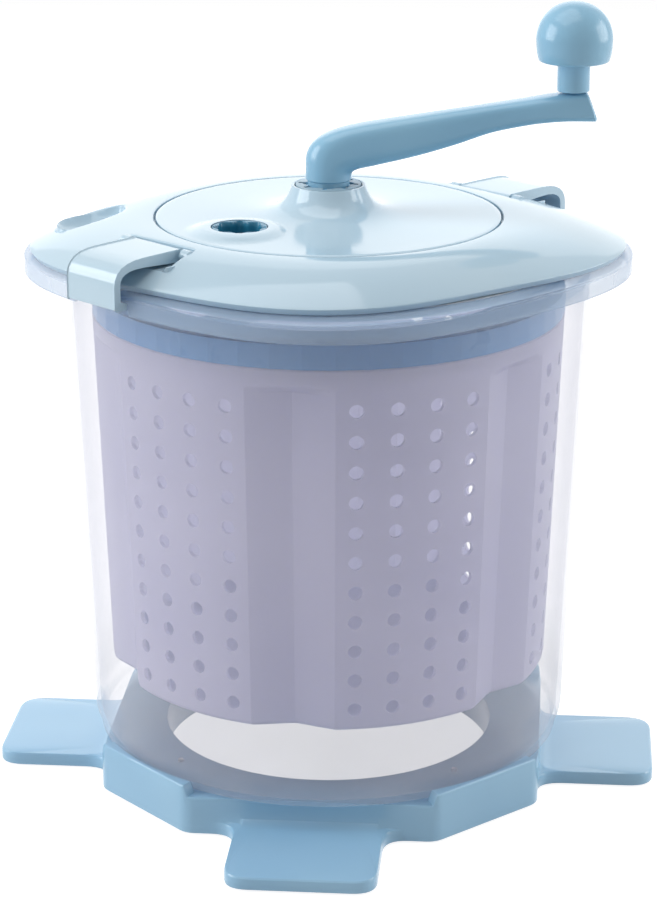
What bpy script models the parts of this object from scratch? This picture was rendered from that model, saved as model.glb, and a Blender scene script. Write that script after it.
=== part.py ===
"""Hand-crank washing machine: a clear tub on a four-footed base, a perforated spin basket,
and a clip-on lid whose crank plugs into a direct or a geared drive socket.

Metres, +Z up. The origin is on the basket's axis, at the surface that the feet rest on.
"""
from math import asin, cos, pi, radians, sin, sqrt

import bmesh
import bpy
from mathutils import Matrix

# Shared clearances
GAP = 0.0003
PLAY = 0.0005
OVERRUN = 0.003
WELD = 0.00002

# Facets of the round pieces
ROUND = 40
BASKET_FLUTE_STEPS = 4
SHAFT_SIDES = 20
SMALL_SIDES = 8
ARC_STEPS = 4

# Base with four feet
BASE_TURN = radians(-4.8)
FOOT_COUNT = 4
PLINTH_INSET = 0.0085
PLINTH_FACET_SHARE = 0.56
PLINTH_DECK_Z = 0.0217
PLINTH_LIP = 0.006
PLINTH_DECK_WIDTH = 0.028
PLINTH_DECK = 0.0032
PLINTH_WALL = 0.003
FOOT_LENGTH = 0.0625
FOOT_HALF_WIDTH = 0.039
FOOT_THICKNESS = 0.007
FOOT_CORNER = 0.012
FOOT_ROOT_FILLET = 0.009
PAD_PROUD = 0.001
PAD_THICKNESS = 0.0022
PAD_LENGTH = 0.050
PAD_WIDTH = 0.016
PAD_TIP_MARGIN = 0.010

# Clear tub
TUB_WALL = 0.0026
TUB_FLOOR = 0.003
TUB_TOP_RADIUS = 0.1397
TUB_FLARE = 0.0104
TUB_SEAT_STEP = 0.0028
TUB_SEAT_HEIGHT = 0.0065
TUB_SHOULDER = 0.005
TUB_EDGE_ROUND = 0.004
TUB_HEIGHT = 0.267
RIM_THICKNESS = 0.0025
RIM_OVERHANG = 0.0109
RIM_OVAL = 0.0032
RIM_SQUARE = 0.0076
RIM_EDGE_ROUND = 0.0012
SKIRT_DEPTH = 0.0095
SKIRT_WALL = 0.0024
RIM_LEDGE = 0.0117
PIVOT_POST_FOOT = 0.016
PIVOT_POST_TOP = 0.012
PIVOT_POST_HEIGHT = 0.031
PIVOT_PIN_RADIUS = 0.004
PIVOT_PIN_SUNK = 0.012
PIVOT_PIN_LENGTH = 0.0224
PIVOT_TIP_SHARE = 0.75
PIVOT_TIP_ROUND = 0.0005
PIVOT_TIP_TAPER = 0.002
BASE_SCREW_HEAD = 0.0075
BASE_SCREW_HEAD_HEIGHT = 0.002
BASE_SCREW_RADIUS = 0.0015
TUB_BOSS_RADIUS = 0.005
SCREW_BITE = 0.0015

# Spin basket
BASKET_LIFT = 0.0365
BASKET_WALL = 0.0022
BASKET_FLOOR = 0.0024
BASKET_SPACE = 0.0076
BASKET_MOUTH_SPACE = 0.0019
BASKET_BELOW_RIM = 0.03085
BASKET_CORNER = 0.0045
BASKET_PANELS = 6
BASKET_TURN = radians(-9)
HOLE_COLUMNS = 4
HOLE_ROWS = 11
HOLE_SIDES = 4
HOLE_RADIUS = 0.0043
HOLE_COLUMN_STEP = radians(9.7)
GROOVE_DEPTH = 0.0035
GROOVE_RUNOUT = 0.0054
BASKET_BAND = 0.008
HUB_RADIUS = 0.013
HUB_DROP = 0.002
HUB_HEIGHT = 0.0135
BUSH_WALL = 0.0034
BUSH_CAP = 0.0035
BUSH_LENGTH = 0.0107

# Basket cover, with the socket that the lid drives
COVER_WALL = 0.0024
COVER_HEIGHT = 0.0127
COVER_PLATE = 0.0025
COVER_RING_WIDTH = 0.027
COVER_SPIGOT_DEPTH = 0.006
COVER_SPIGOT_WALL = 0.002
COVER_SPOKES = 3
COVER_SPOKE_WIDTH = 0.011
COVER_SPOKE_DEPTH = 0.007
COVER_HUB_RADIUS = 0.015
COVER_HUB_HEIGHT = 0.014
COVER_HUB_PROUD = 0.002
HEX_RADIUS = 0.008
HEX_SIDES = 6

# Lid
LID_RISE = 0.0184
LID_FLANK_Z = 0.0033
LID_SETBACK = 0.0121
LID_OVAL = 0.010
LID_SQUARE = 0.0085
LID_LATCH_SWELL = 0.005
LID_BROW = 0.0014
LID_DOME_POWER = 2
LID_DOME_SHARES = (0.0, 0.25, 0.5, 0.75, 1.0)
LID_FLOOR = 0.0025
LID_RECESS_DEPTH = 0.0039
LID_FLAT_SHARE = 0.92
SEAL_WIDTH = 0.0035
SPIGOT_WALL = 0.0025
SPIGOT_DEPTH = 0.006
SPIGOT_LIP = 0.0011
SPIGOT_LIP_HEIGHT = 0.0013

# Inlet scoop at the lid's left tip
INLET_INSET = 0.030
INLET_Y = 0.012
INLET_TURN = radians(50)
INLET_LENGTH = 0.045
INLET_WIDTH = 0.027
INLET_DEPTH = 0.0085
INLET_FLOOR = 0.0025
INLET_SIDES = 16
INLET_POINT_POWER = 1.3
INLET_HOLE_OUT = 0.016
INLET_HOLE_RADIUS = 0.0033

# Gear cover, the round disc in the lid's recess
DISC_GAP = 0.0011
RECESS_INSET = 0.0319
DISC_THICKNESS = 0.0024
DISC_LIP_WIDTH = 0.0025
BOSS_HEIGHT = 0.0163
BOSS_WALL = 0.0018
BOSS_SHARES = ((0.494, 0.04), (0.241, 0.15), (0.089, 0.4), (0.019, 0.78), (0.0, 1.0))
MOUND_HEIGHT = 0.0026
MOUND_FLARE = 0.0126
MOUND_TOP_WALL = 0.002
SCREW_BOSS_RADIUS = 0.004

# Drive sockets and gears
SPLINE_LOBES = 8
SPLINE_POINTS = 32
SPLINE_WAVE = 0.00085
SOCKET_RING_WALL = 0.0042
SOCKET_TUBE_WALL = 0.0012
GEAR_PLACE_SHARE = 0.6557
GEAR_OFFSET_TURN = radians(-140)
CENTRE_TEETH = 24
OFFSET_TEETH = 16
GEAR_FACE = 0.0085
TOOTH_BACKLASH = 0.0004
TOOTH_ADDENDUM_SHARE = 0.9
TOOTH_DEDENDUM_SHARE = 1.2
TOOTH_ROOT_SHARE = 1.45
TOOTH_TIP_SHARE = 0.55
OFFSET_JOURNAL_RADIUS = 0.009
OFFSET_WEB = 0.0028
SHAFT_PLUG_RADIUS = 0.007
SHAFT_PLUG_LENGTH = 0.0088
SHAFT_JOURNAL_RADIUS = 0.0092
SHAFT_BUSH_WALL = 0.0022
SHAFT_BUSH_FLANGE = 0.003
SHAFT_BUSH_FLANGE_HEIGHT = 0.0013
SHAFT_SCREW_HEAD = 0.0036
SHAFT_SCREW_HEAD_HEIGHT = 0.002
SHAFT_SCREW_RADIUS = 0.0017
SHAFT_SCREW_BITE = 0.004

# Gear case under the lid's floor
CASE_CLEARANCE = 0.0025
CASE_WALL = 0.0023
CASE_FLOOR = 0.0023
CASE_HEIGHT = 0.0157
CASE_FLANGE = 0.0062
CASE_FLANGE_HEIGHT = 0.0025
CASE_COLLAR_WALL = 0.003
CASE_COLLAR_PROUD = 0.0016
CASE_SCREW_RADIUS = 0.0016
CASE_SCREW_HEAD = 0.0028
CASE_SCREW_HEAD_HEIGHT = 0.002
CASE_SCREW_SPREAD = radians(75)

# Crank
CRANK_SEAT = 0.002
PLUG_LENGTH = 0.018
HUB_CRANK_RADIUS = 0.0121
HUB_CRANK_HEIGHT = 0.028
HUB_CROWN_DROP = 0.022
HUB_CROWN_SHARES = ((-0.985, 0.5), (-0.9, 0.24), (-0.6, 0.07))
CRANK_REACH = 0.1278
ARM_RISE = 0.019
ARM_DEPTH = 0.0235
ARM_HALF_WIDTH = 0.0105
ARM_SHARES = (
    (0.0, 0.0, 0.85, 1.14),
    (0.29, 0.4, 1.0, 0.98),
    (0.53, 0.62, 0.88, 0.88),
    (0.72, 0.77, 0.66, 0.84),
    (0.79, 0.83, 0.5, 0.86),
    (0.93, 0.945, 0.54, 0.92),
    (1.06, 1.0, 0.6, 0.9),
    (1.088, 0.97, 0.54, 0.75),
)
ARM_SECTION_POINTS = 12
ARM_SECTION_POWER = 0.5

# Knob on the crank
KNOB_RADIUS = 0.020
KNOB_HEIGHT = 0.031
KNOB_NECK_RADIUS = 0.0085
KNOB_NECK_LENGTH = 0.0157
KNOB_SIDES = 18
KNOB_SHARES = (
    (0.84, 0.0),
    (0.93, 0.05),
    (0.985, 0.2),
    (1.0, 0.38),
    (0.96, 0.6),
    (0.83, 0.8),
    (0.56, 0.95),
    (0.3, 1.0),
)
KNOB_PIN_RADIUS = 0.003
KNOB_PIN_HEAD = 0.005
KNOB_PIN_HEAD_HEIGHT = 0.002
KNOB_PIN_SHARE = 0.35

# Two latches that clip the lid to the tub's rim
LATCH_TURNS = {"left": radians(-135), "right": radians(45)}
LATCH_PIVOT_INSET = 0.0195
LATCH_PIVOT_DEPTH = 0.0038
LATCH_BARREL = 0.0029
LATCH_THICKNESS = 0.0042
LATCH_STANDOFF = 0.0065
LATCH_GRIP = 0.0059
LATCH_STRAP_FALL = 0.0026
LATCH_BEND = 0.0085
LATCH_BEAD = 0.0028
LATCH_BEAD_HEIGHT = 0.002
LATCH_BEAD_SLOPE = 0.0015
LATCH_EDGE = 0.0007
LATCH_WIDTH = 0.0365
LATCH_PIN_RADIUS = 0.0014
EAR_RADIUS = 0.0034
EAR_LENGTH = 0.0062
POCKET_MARGIN = 0.0008
POCKET_SIDE = 0.0068
POCKET_FLOOR_GAP = 0.0013
POCKET_BACK_GAP = 0.0012
CATCH_GAP = 0.0004
CATCH_CHAMFER = 0.0015
CATCH_BELOW = 0.0005

# Heights worked out from the sizes above
TUB_BASE_Z = PLINTH_DECK_Z + GAP
TUB_FLOOR_Z = TUB_BASE_Z + TUB_FLOOR
TUB_TOP_Z = TUB_BASE_Z + TUB_HEIGHT
BASKET_BASE_Z = TUB_FLOOR_Z + BASKET_LIFT
BASKET_CELLS_Z = BASKET_BASE_Z + BASKET_CORNER
BASKET_TOP_Z = TUB_TOP_Z - BASKET_BELOW_RIM
BASKET_BAND_Z = BASKET_TOP_Z - BASKET_BAND
HOLES_TOP_Z = BASKET_BAND_Z - GROOVE_RUNOUT
HOLE_ROW_PITCH = (HOLES_TOP_Z - BASKET_CELLS_Z) / HOLE_ROWS
COVER_BASE_Z = BASKET_TOP_Z + GAP
COVER_TOP_Z = COVER_BASE_Z + COVER_HEIGHT
COVER_HUB_TOP_Z = COVER_TOP_Z + COVER_HUB_PROUD
LID_BASE_Z = TUB_TOP_Z + GAP
LID_TOP_Z = LID_BASE_Z + LID_RISE
LID_FLOOR_Z = LID_TOP_Z - LID_RECESS_DEPTH
LID_UNDER_Z = LID_FLOOR_Z - LID_FLOOR
CASE_TOP_Z = LID_UNDER_Z - GAP
CASE_BASE_Z = CASE_TOP_Z - CASE_HEIGHT
BEARING_Z = CASE_BASE_Z + CASE_FLOOR + CASE_COLLAR_PROUD
GEAR_BASE_Z = BEARING_Z + GAP
GEAR_TOP_Z = GEAR_BASE_Z + GEAR_FACE
RING_TOP_Z = LID_TOP_Z + BOSS_HEIGHT + GAP
MOUND_TOP_Z = LID_TOP_Z + MOUND_HEIGHT
HUB_CRANK_Z = RING_TOP_Z + CRANK_SEAT
PLUG_END_Z = HUB_CRANK_Z - PLUG_LENGTH
SOCKET_FLOOR_Z = PLUG_END_Z - GAP - SHAFT_SCREW_HEAD_HEIGHT - GAP
HUB_CRANK_TOP_Z = HUB_CRANK_Z + HUB_CRANK_HEIGHT
KNOB_BASE_Z = HUB_CRANK_TOP_Z + ARM_RISE + GAP
KNOB_CAP_Z = KNOB_BASE_Z + KNOB_NECK_LENGTH
KNOB_TOP_Z = KNOB_CAP_Z + KNOB_HEIGHT
LATCH_PIVOT_Z = LID_TOP_Z - LATCH_PIVOT_DEPTH
LATCH_DROP = LATCH_PIVOT_Z - TUB_TOP_Z + LATCH_GRIP

# Radii and distances worked out from the sizes above
TUB_LOW_RADIUS = TUB_TOP_RADIUS - TUB_FLARE
TUB_SEAT_RADIUS = TUB_LOW_RADIUS - TUB_SEAT_STEP
RIM_MEAN = TUB_TOP_RADIUS + RIM_OVERHANG
MOUTH_RADIUS = TUB_TOP_RADIUS - RIM_LEDGE
PLINTH_APOTHEM = TUB_SEAT_RADIUS - PLINTH_INSET
PLINTH_FACET_HALF = PLINTH_APOTHEM * PLINTH_FACET_SHARE
PLINTH_BORE = PLINTH_APOTHEM - PLINTH_DECK_WIDTH
FOOT_REACH = PLINTH_APOTHEM + FOOT_LENGTH
BASE_SCREW_CIRCLE = (PLINTH_BORE + PLINTH_APOTHEM) / 2
BASKET_LOW_RADIUS = TUB_LOW_RADIUS - TUB_WALL - BASKET_SPACE
BASKET_TOP_RADIUS = MOUTH_RADIUS - BASKET_MOUTH_SPACE
LID_MEAN = RIM_MEAN - LID_SETBACK
SPIGOT_RADIUS = MOUTH_RADIUS - SEAL_WIDTH
RECESS_RADIUS = SPIGOT_RADIUS - RECESS_INSET
LID_DOME_START = RECESS_RADIUS + LID_BROW
INLET_X = INLET_INSET - LID_MEAN - LID_OVAL - LID_SQUARE
LATCH_PIVOT_RADIUS = SPIGOT_RADIUS - LATCH_PIVOT_INSET
LATCH_REACH = RIM_MEAN - RIM_SQUARE + LATCH_STANDOFF - LATCH_PIVOT_RADIUS
DISC_RADIUS = RECESS_RADIUS - DISC_GAP
SPLINE_RADIUS = HUB_CRANK_RADIUS
SOCKET_RING_RADIUS = SPLINE_RADIUS + SPLINE_WAVE + GAP + SOCKET_RING_WALL
SOCKET_TUBE_RADIUS = SPLINE_RADIUS + SPLINE_WAVE + GAP + SOCKET_TUBE_WALL
BOSS_RADIUS = SOCKET_RING_RADIUS + BOSS_WALL
MOUND_FOOT = SOCKET_TUBE_RADIUS + MOUND_FLARE
GEAR_DISTANCE = DISC_RADIUS * GEAR_PLACE_SHARE
GEAR_MODULE = 2 * GEAR_DISTANCE / (CENTRE_TEETH + OFFSET_TEETH)
OFFSET_X = GEAR_DISTANCE * cos(GEAR_OFFSET_TURN)
OFFSET_Y = GEAR_DISTANCE * sin(GEAR_OFFSET_TURN)
CENTRE_TIP_RADIUS = GEAR_MODULE * (CENTRE_TEETH / 2 + TOOTH_ADDENDUM_SHARE)
OFFSET_TIP_RADIUS = GEAR_MODULE * (OFFSET_TEETH / 2 + TOOTH_ADDENDUM_SHARE)
CASE_CENTRE_RADIUS = CENTRE_TIP_RADIUS + CASE_CLEARANCE
CASE_OFFSET_RADIUS = OFFSET_TIP_RADIUS + CASE_CLEARANCE
CASE_SCREW_OUT = CASE_WALL + (CASE_FLANGE + GAP) / 2
SHAFT_BUSH_RADIUS = SHAFT_JOURNAL_RADIUS + GAP + SHAFT_BUSH_WALL


def clear_file():
    for item in list(bpy.data.objects):
        bpy.data.objects.remove(item, do_unlink=True)


def finish(name, colour, roughness, metallic=0.0, alpha=1.0):
    """One Principled material."""
    material = bpy.data.materials.new(name)
    material.use_nodes = True
    shader = material.node_tree.nodes["Principled BSDF"]
    shader.inputs["Base Color"].default_value = (*colour, 1.0)
    shader.inputs["Roughness"].default_value = roughness
    shader.inputs["Metallic"].default_value = metallic
    shader.inputs["Alpha"].default_value = alpha
    material.diffuse_color = (*colour, alpha)
    return material


def solid(name, points, faces, material=None):
    """A closed mesh object with its faces turned outwards."""
    mesh = bpy.data.meshes.new(name)
    mesh.from_pydata(points, [], faces)
    shape = bmesh.new()
    shape.from_mesh(mesh)
    bmesh.ops.recalc_face_normals(shape, faces=shape.faces)
    shape.to_mesh(mesh)
    shape.free()
    if material:
        mesh.materials.append(material)
    item = bpy.data.objects.new(name, mesh)
    bpy.context.scene.collection.objects.link(item)
    return item


def prism(name, outline, low, high, material=None):
    """A flat outline in X and Y, raised from one height to another."""
    count = len(outline)
    points = [(x, y, low) for x, y in outline] + [(x, y, high) for x, y in outline]
    faces = [tuple(range(count)), tuple(range(count, 2 * count))]
    for i in range(count):
        j = (i + 1) % count
        faces.append((i, j, j + count, i + count))
    return solid(name, points, faces, material)


def bar(name, outline, start, end, material=None):
    """A flat outline in X and Z, drawn out along Y."""
    item = prism(name, [(x, -z) for x, z in outline], start, end, material)
    item.data.transform(Matrix.Rotation(-pi / 2, 4, "X"))
    return item


def ring_stack(name, rings, sides, material=None):
    """Rings of points round the Z axis, each given by a radius and a height that may depend on
    the angle, joined one to the next and back to the first. A ring of no radius is one point."""
    angles = [2 * pi * i / sides for i in range(sides)]
    points = []
    rows = []
    for radius, height in rings:
        if radius == 0:
            rows.append([len(points)] * sides)
            points.append((0.0, 0.0, height))
            continue
        rows.append(list(range(len(points), len(points) + sides)))
        for angle in angles:
            r = radius(angle) if callable(radius) else radius
            points.append((r * cos(angle), r * sin(angle), height))
    pairs = list(zip(rows, rows[1:]))
    if rings[0][0] != 0:
        pairs.append((rows[-1], rows[0]))
    faces = []
    for inner, outer in pairs:
        for i in range(sides):
            j = (i + 1) % sides
            corners = [inner[i], inner[j], outer[j], outer[i]]
            faces.append(tuple(dict.fromkeys(corners)))
    return solid(name, points, faces, material)


def circle(radius, sides, x=0.0, y=0.0, turn=0.0):
    steps = [turn + 2 * pi * i / sides for i in range(sides)]
    return [(x + radius * cos(a), y + radius * sin(a)) for a in steps]


def arc(x, y, radius, start, end, steps=ARC_STEPS):
    turns = [start + (end - start) * i / steps for i in range(steps + 1)]
    return [(x + radius * cos(a), y + radius * sin(a)) for a in turns]


def drum(name, radius, low, high, sides=SHAFT_SIDES, x=0.0, y=0.0, turn=0.0, material=None):
    return prism(name, circle(radius, sides, x, y, turn), low, high, material)


def combine(target, tools, operation):
    """Join tools to the target, or cut them from it, and delete them."""
    for tool in tools:
        change = target.modifiers.new(tool.name, "BOOLEAN")
        change.operation = operation
        change.solver = "EXACT"
        change.object = tool
    view = bpy.context.evaluated_depsgraph_get()
    mesh = bpy.data.meshes.new_from_object(target.evaluated_get(view))
    shape = bmesh.new()
    shape.from_mesh(mesh)
    bmesh.ops.remove_doubles(shape, verts=shape.verts, dist=WELD)
    bmesh.ops.dissolve_degenerate(shape, edges=shape.edges, dist=WELD)
    shape.to_mesh(mesh)
    shape.free()
    target.modifiers.clear()
    target.data = mesh
    for tool in tools:
        bpy.data.objects.remove(tool, do_unlink=True)
    return target


def join(target, *tools):
    return combine(target, tools, "UNION")


def cut(target, *tools):
    return combine(target, tools, "DIFFERENCE")


def turned(item, turn, x=0.0, y=0.0, z=0.0):
    """Turn a tool's mesh about Z and move it."""
    item.data.transform(Matrix.Translation((x, y, z)) @ Matrix.Rotation(turn, 4, "Z"))
    return item


def axis(name, x=0.0, y=0.0, z=0.0, turn=0.0, parent=None):
    """An empty on a joint's axis, which carries the pieces that move about it."""
    item = bpy.data.objects.new(name, None)
    bpy.context.scene.collection.objects.link(item)
    item.matrix_world = Matrix.Translation((x, y, z)) @ Matrix.Rotation(turn, 4, "Z")
    return hang(item, parent)


def hang(item, parent):
    """Parent an item and keep its place."""
    if parent:
        bpy.context.view_layer.update()
        item.parent = parent
        item.matrix_parent_inverse = parent.matrix_world.inverted()
    return item


def place(item, parent, x=0.0, y=0.0, z=0.0, turn=0.0):
    item.matrix_world = Matrix.Translation((x, y, z)) @ Matrix.Rotation(turn, 4, "Z")
    item.data.shade_smooth()
    item.data.set_sharp_from_angle(angle=radians(35))
    return hang(item, parent)


def lobed(mean, oval, square):
    """An outline drawn out to two tips and flattened on its diagonals."""
    return lambda angle: mean + oval * cos(2 * angle) + square * cos(4 * angle)


def spline(grow=0.0, x=0.0, y=0.0):
    """The wavy outline shared by the crank's plug and the sockets."""
    outline = []
    for i in range(SPLINE_POINTS):
        a = 2 * pi * i / SPLINE_POINTS
        r = SPLINE_RADIUS + grow + SPLINE_WAVE * cos(SPLINE_LOBES * a)
        outline.append((x + r * cos(a), y + r * sin(a)))
    return outline


def gear_outline(teeth, first):
    """Straight-flanked teeth on a pitch circle, with the first tooth at the given angle."""
    pitch = GEAR_MODULE * teeth / 2
    root = pitch - GEAR_MODULE * TOOTH_DEDENDUM_SHARE
    tip = pitch + GEAR_MODULE * TOOTH_ADDENDUM_SHARE
    tooth = pi * GEAR_MODULE / 2 - TOOTH_BACKLASH
    outline = []
    for i in range(teeth):
        middle = first + 2 * pi * i / teeth
        root_half = tooth * TOOTH_ROOT_SHARE / 2 / root
        tip_half = tooth * TOOTH_TIP_SHARE / 2 / tip
        for r, a in ((root, -root_half), (tip, -tip_half), (tip, tip_half), (root, root_half)):
            outline.append((r * cos(middle + a), r * sin(middle + a)))
    return outline


def belt_outline(grow):
    """An outline wrapped round both gears, as a belt would be, standing off them by grow."""
    big = CASE_CENTRE_RADIUS + grow
    small = CASE_OFFSET_RADIUS + grow
    lean = asin((big - small) / GEAR_DISTANCE)
    edge = pi / 2 - lean
    steps = ARC_STEPS + 2
    ahead = GEAR_OFFSET_TURN
    far = arc(OFFSET_X, OFFSET_Y, small, ahead - edge, ahead + edge, steps)
    near = arc(0.0, 0.0, big, ahead + edge, ahead + 2 * pi - edge, 2 * steps)
    return far + near


def case_screw_places():
    """One screw behind the centre gear and two beside the offset gear."""
    behind = GEAR_OFFSET_TURN + pi
    out = CASE_CENTRE_RADIUS + CASE_SCREW_OUT
    places = [(out * cos(behind), out * sin(behind))]
    out = CASE_OFFSET_RADIUS + CASE_SCREW_OUT
    for side in (-1, 1):
        a = GEAR_OFFSET_TURN + side * CASE_SCREW_SPREAD
        places.append((OFFSET_X + out * cos(a), OFFSET_Y + out * sin(a)))
    return places


def base_screw_places():
    """Four screws under the plinth's diagonals."""
    places = []
    for i in range(FOOT_COUNT):
        a = BASE_TURN + 2 * pi * (i + 0.5) / FOOT_COUNT
        places.append((BASE_SCREW_CIRCLE * cos(a), BASE_SCREW_CIRCLE * sin(a)))
    return places


def screw(name, head, head_height, shank, length, material):
    """A pan-head screw, point up, with its head's underside at its origin."""
    top = ((0, -head_height), (head, -head_height), (head, 0.0))
    stem = ((shank, 0.0), (shank, length), (0, length))
    return ring_stack(name, top + stem, SMALL_SIDES, material)


def build_base(blue, rubber):
    low = PAD_PROUD
    corners = []
    for i in range(FOOT_COUNT):
        a = 2 * pi * i / FOOT_COUNT
        for side in (-PLINTH_FACET_HALF, PLINTH_FACET_HALF):
            x = PLINTH_APOTHEM * cos(a) - side * sin(a)
            y = PLINTH_APOTHEM * sin(a) + side * cos(a)
            corners.append((x, y))
    base = prism("base_ring", corners, low, PLINTH_DECK_Z + PLINTH_LIP, blue)
    foot_root = PLINTH_APOTHEM - PLINTH_WALL / 2
    half = FOOT_HALF_WIDTH
    reach = FOOT_REACH
    flare = FOOT_ROOT_FILLET
    outline = [(foot_root, half + flare)]
    outline += arc(PLINTH_APOTHEM + flare, half + flare, flare, pi, 1.5 * pi)
    outline += arc(reach - FOOT_CORNER, half - FOOT_CORNER, FOOT_CORNER, pi / 2, 0)
    outline += [(x, -y) for x, y in reversed(outline)]
    feet = []
    pockets = []
    for i in range(FOOT_COUNT):
        a = 2 * pi * i / FOOT_COUNT
        feet.append(turned(prism("foot_tool", outline, low, low + FOOT_THICKNESS), a))
        pockets.append(turned(pad_block("pocket_tool", GAP, 0.0, PAD_THICKNESS + GAP), a))
    join(base, *feet)
    channel_outer = PLINTH_APOTHEM - PLINTH_WALL
    channel_inner = PLINTH_BORE + PLINTH_WALL
    channel_top = PLINTH_DECK_Z - PLINTH_DECK
    channel = ring_stack("channel_tool", (
        (channel_inner, -OVERRUN), (channel_outer, -OVERRUN),
        (channel_outer, channel_top), (channel_inner, channel_top)), SHAFT_SIDES)
    seat_top = PLINTH_DECK_Z + PLINTH_LIP + OVERRUN
    seat = drum("seat_tool", TUB_SEAT_RADIUS + 2 * PLAY, PLINTH_DECK_Z, seat_top, ROUND)
    bore = drum("bore_tool", PLINTH_BORE, -OVERRUN, PLINTH_DECK_Z + OVERRUN, ROUND)
    cut(base, seat, bore, channel, *pockets)
    holes = []
    for x, y in base_screw_places():
        hole = drum("hole_tool", TUB_BOSS_RADIUS + PLAY, low, PLINTH_DECK_Z + OVERRUN, SMALL_SIDES)
        holes.append(turned(hole, -BASE_TURN, *unturned(x, y)))
    cut(base, *holes)
    place(base, None, turn=BASE_TURN)
    for i in range(FOOT_COUNT):
        pad = pad_block(f"foot_pad_{i + 1}", 0.0, 0.0, PAD_THICKNESS, rubber)
        place(pad, base, turn=BASE_TURN + 2 * pi * i / FOOT_COUNT)
    return base


def unturned(x, y):
    """A point of the object as the base sees it before it is turned."""
    return (x * cos(BASE_TURN) + y * sin(BASE_TURN), y * cos(BASE_TURN) - x * sin(BASE_TURN))


def pad_block(name, grow, low, high, material=None):
    """The block of a rubber foot pad, or of the pocket that takes it."""
    outer = FOOT_REACH - PAD_TIP_MARGIN + grow
    inner = FOOT_REACH - PAD_TIP_MARGIN - PAD_WIDTH - grow
    half = PAD_LENGTH / 2 + grow
    return prism(name, [(inner, -half), (outer, -half), (outer, half), (inner, half)], low, high, material)


def tub_radius(height):
    """The tub's outer radius on its straight taper."""
    start = TUB_BASE_Z + TUB_SEAT_HEIGHT + TUB_SHOULDER
    share = (height - start) / (TUB_TOP_Z - start)
    return TUB_LOW_RADIUS + (TUB_TOP_RADIUS - TUB_LOW_RADIUS) * share


def build_tub(clear, steel, base):
    """The tub with its post and bosses, the pin in the post, and the screws up through the base."""
    rim = lobed(RIM_MEAN, RIM_OVAL, RIM_SQUARE)
    inside = TUB_SEAT_RADIUS - TUB_WALL
    shoulder_low = TUB_BASE_Z + TUB_SEAT_HEIGHT
    shoulder_high = shoulder_low + TUB_SHOULDER
    rim_low = TUB_TOP_Z - RIM_THICKNESS
    skirt_low = TUB_TOP_Z - SKIRT_DEPTH
    rings = (
        (0, TUB_BASE_Z),
        (TUB_SEAT_RADIUS - TUB_EDGE_ROUND, TUB_BASE_Z),
        (TUB_SEAT_RADIUS, TUB_BASE_Z + TUB_EDGE_ROUND),
        (TUB_SEAT_RADIUS, shoulder_low),
        (TUB_LOW_RADIUS, shoulder_high),
        (tub_radius(rim_low), rim_low),
        (lambda a: rim(a) - SKIRT_WALL, rim_low),
        (lambda a: rim(a) - SKIRT_WALL, skirt_low),
        (rim, skirt_low),
        (rim, TUB_TOP_Z - RIM_EDGE_ROUND),
        (lambda a: rim(a) - RIM_EDGE_ROUND, TUB_TOP_Z),
        (MOUTH_RADIUS, TUB_TOP_Z),
        (MOUTH_RADIUS, rim_low),
        (tub_radius(rim_low) - TUB_WALL, rim_low),
        (TUB_LOW_RADIUS - TUB_WALL, shoulder_high),
        (inside, shoulder_low),
        (inside, TUB_FLOOR_Z + TUB_EDGE_ROUND / 2),
        (inside - TUB_EDGE_ROUND / 2, TUB_FLOOR_Z),
        (0, TUB_FLOOR_Z),
    )
    tub = ring_stack("tub", rings, ROUND, clear)
    post_top = TUB_FLOOR_Z + PIVOT_POST_HEIGHT
    post = ring_stack("post_tool", (
        (0, TUB_FLOOR_Z - TUB_FLOOR / 2), (PIVOT_POST_FOOT, TUB_FLOOR_Z - TUB_FLOOR / 2),
        (PIVOT_POST_TOP, post_top), (0, post_top)), SHAFT_SIDES)
    bosses = []
    for x, y in base_screw_places():
        boss_low = PLINTH_DECK_Z - PLINTH_DECK + GAP
        boss_top = TUB_BASE_Z + TUB_FLOOR / 2
        bosses.append(drum("boss_tool", TUB_BOSS_RADIUS, boss_low, boss_top, SMALL_SIDES, x, y))
    join(tub, post, *bosses)
    pin_low = post_top - PIVOT_PIN_SUNK
    holes = [drum("pin_tool", PIVOT_PIN_RADIUS + GAP, pin_low, post_top + OVERRUN)]
    for x, y in base_screw_places():
        hole_top = TUB_BASE_Z + SCREW_BITE + GAP
        holes.append(drum("screw_tool", BASE_SCREW_RADIUS + GAP, 0.0, hole_top, SMALL_SIDES, x, y))
    cut(tub, *holes)
    for turn in LATCH_TURNS.values():
        cut(tub, catch_tool(turn))
    place(tub, None)
    pin_top = pin_low + GAP + PIVOT_PIN_LENGTH
    pin = ring_stack("pivot_pin", (
        (0, pin_low + GAP),
        (PIVOT_PIN_RADIUS, pin_low + GAP),
        (PIVOT_PIN_RADIUS, pin_top - PIVOT_TIP_TAPER),
        (PIVOT_PIN_RADIUS * PIVOT_TIP_SHARE, pin_top - PIVOT_TIP_ROUND),
        (0, pin_top)), SHAFT_SIDES, steel)
    place(pin, tub)
    head_z = PLINTH_DECK_Z - PLINTH_DECK - GAP
    length = TUB_BASE_Z + SCREW_BITE - head_z
    sizes = (BASE_SCREW_HEAD, BASE_SCREW_HEAD_HEIGHT, BASE_SCREW_RADIUS, length)
    for i, (x, y) in enumerate(base_screw_places()):
        place(screw(f"base_screw_{i + 1}", *sizes, steel), base, x, y, head_z)


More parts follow.
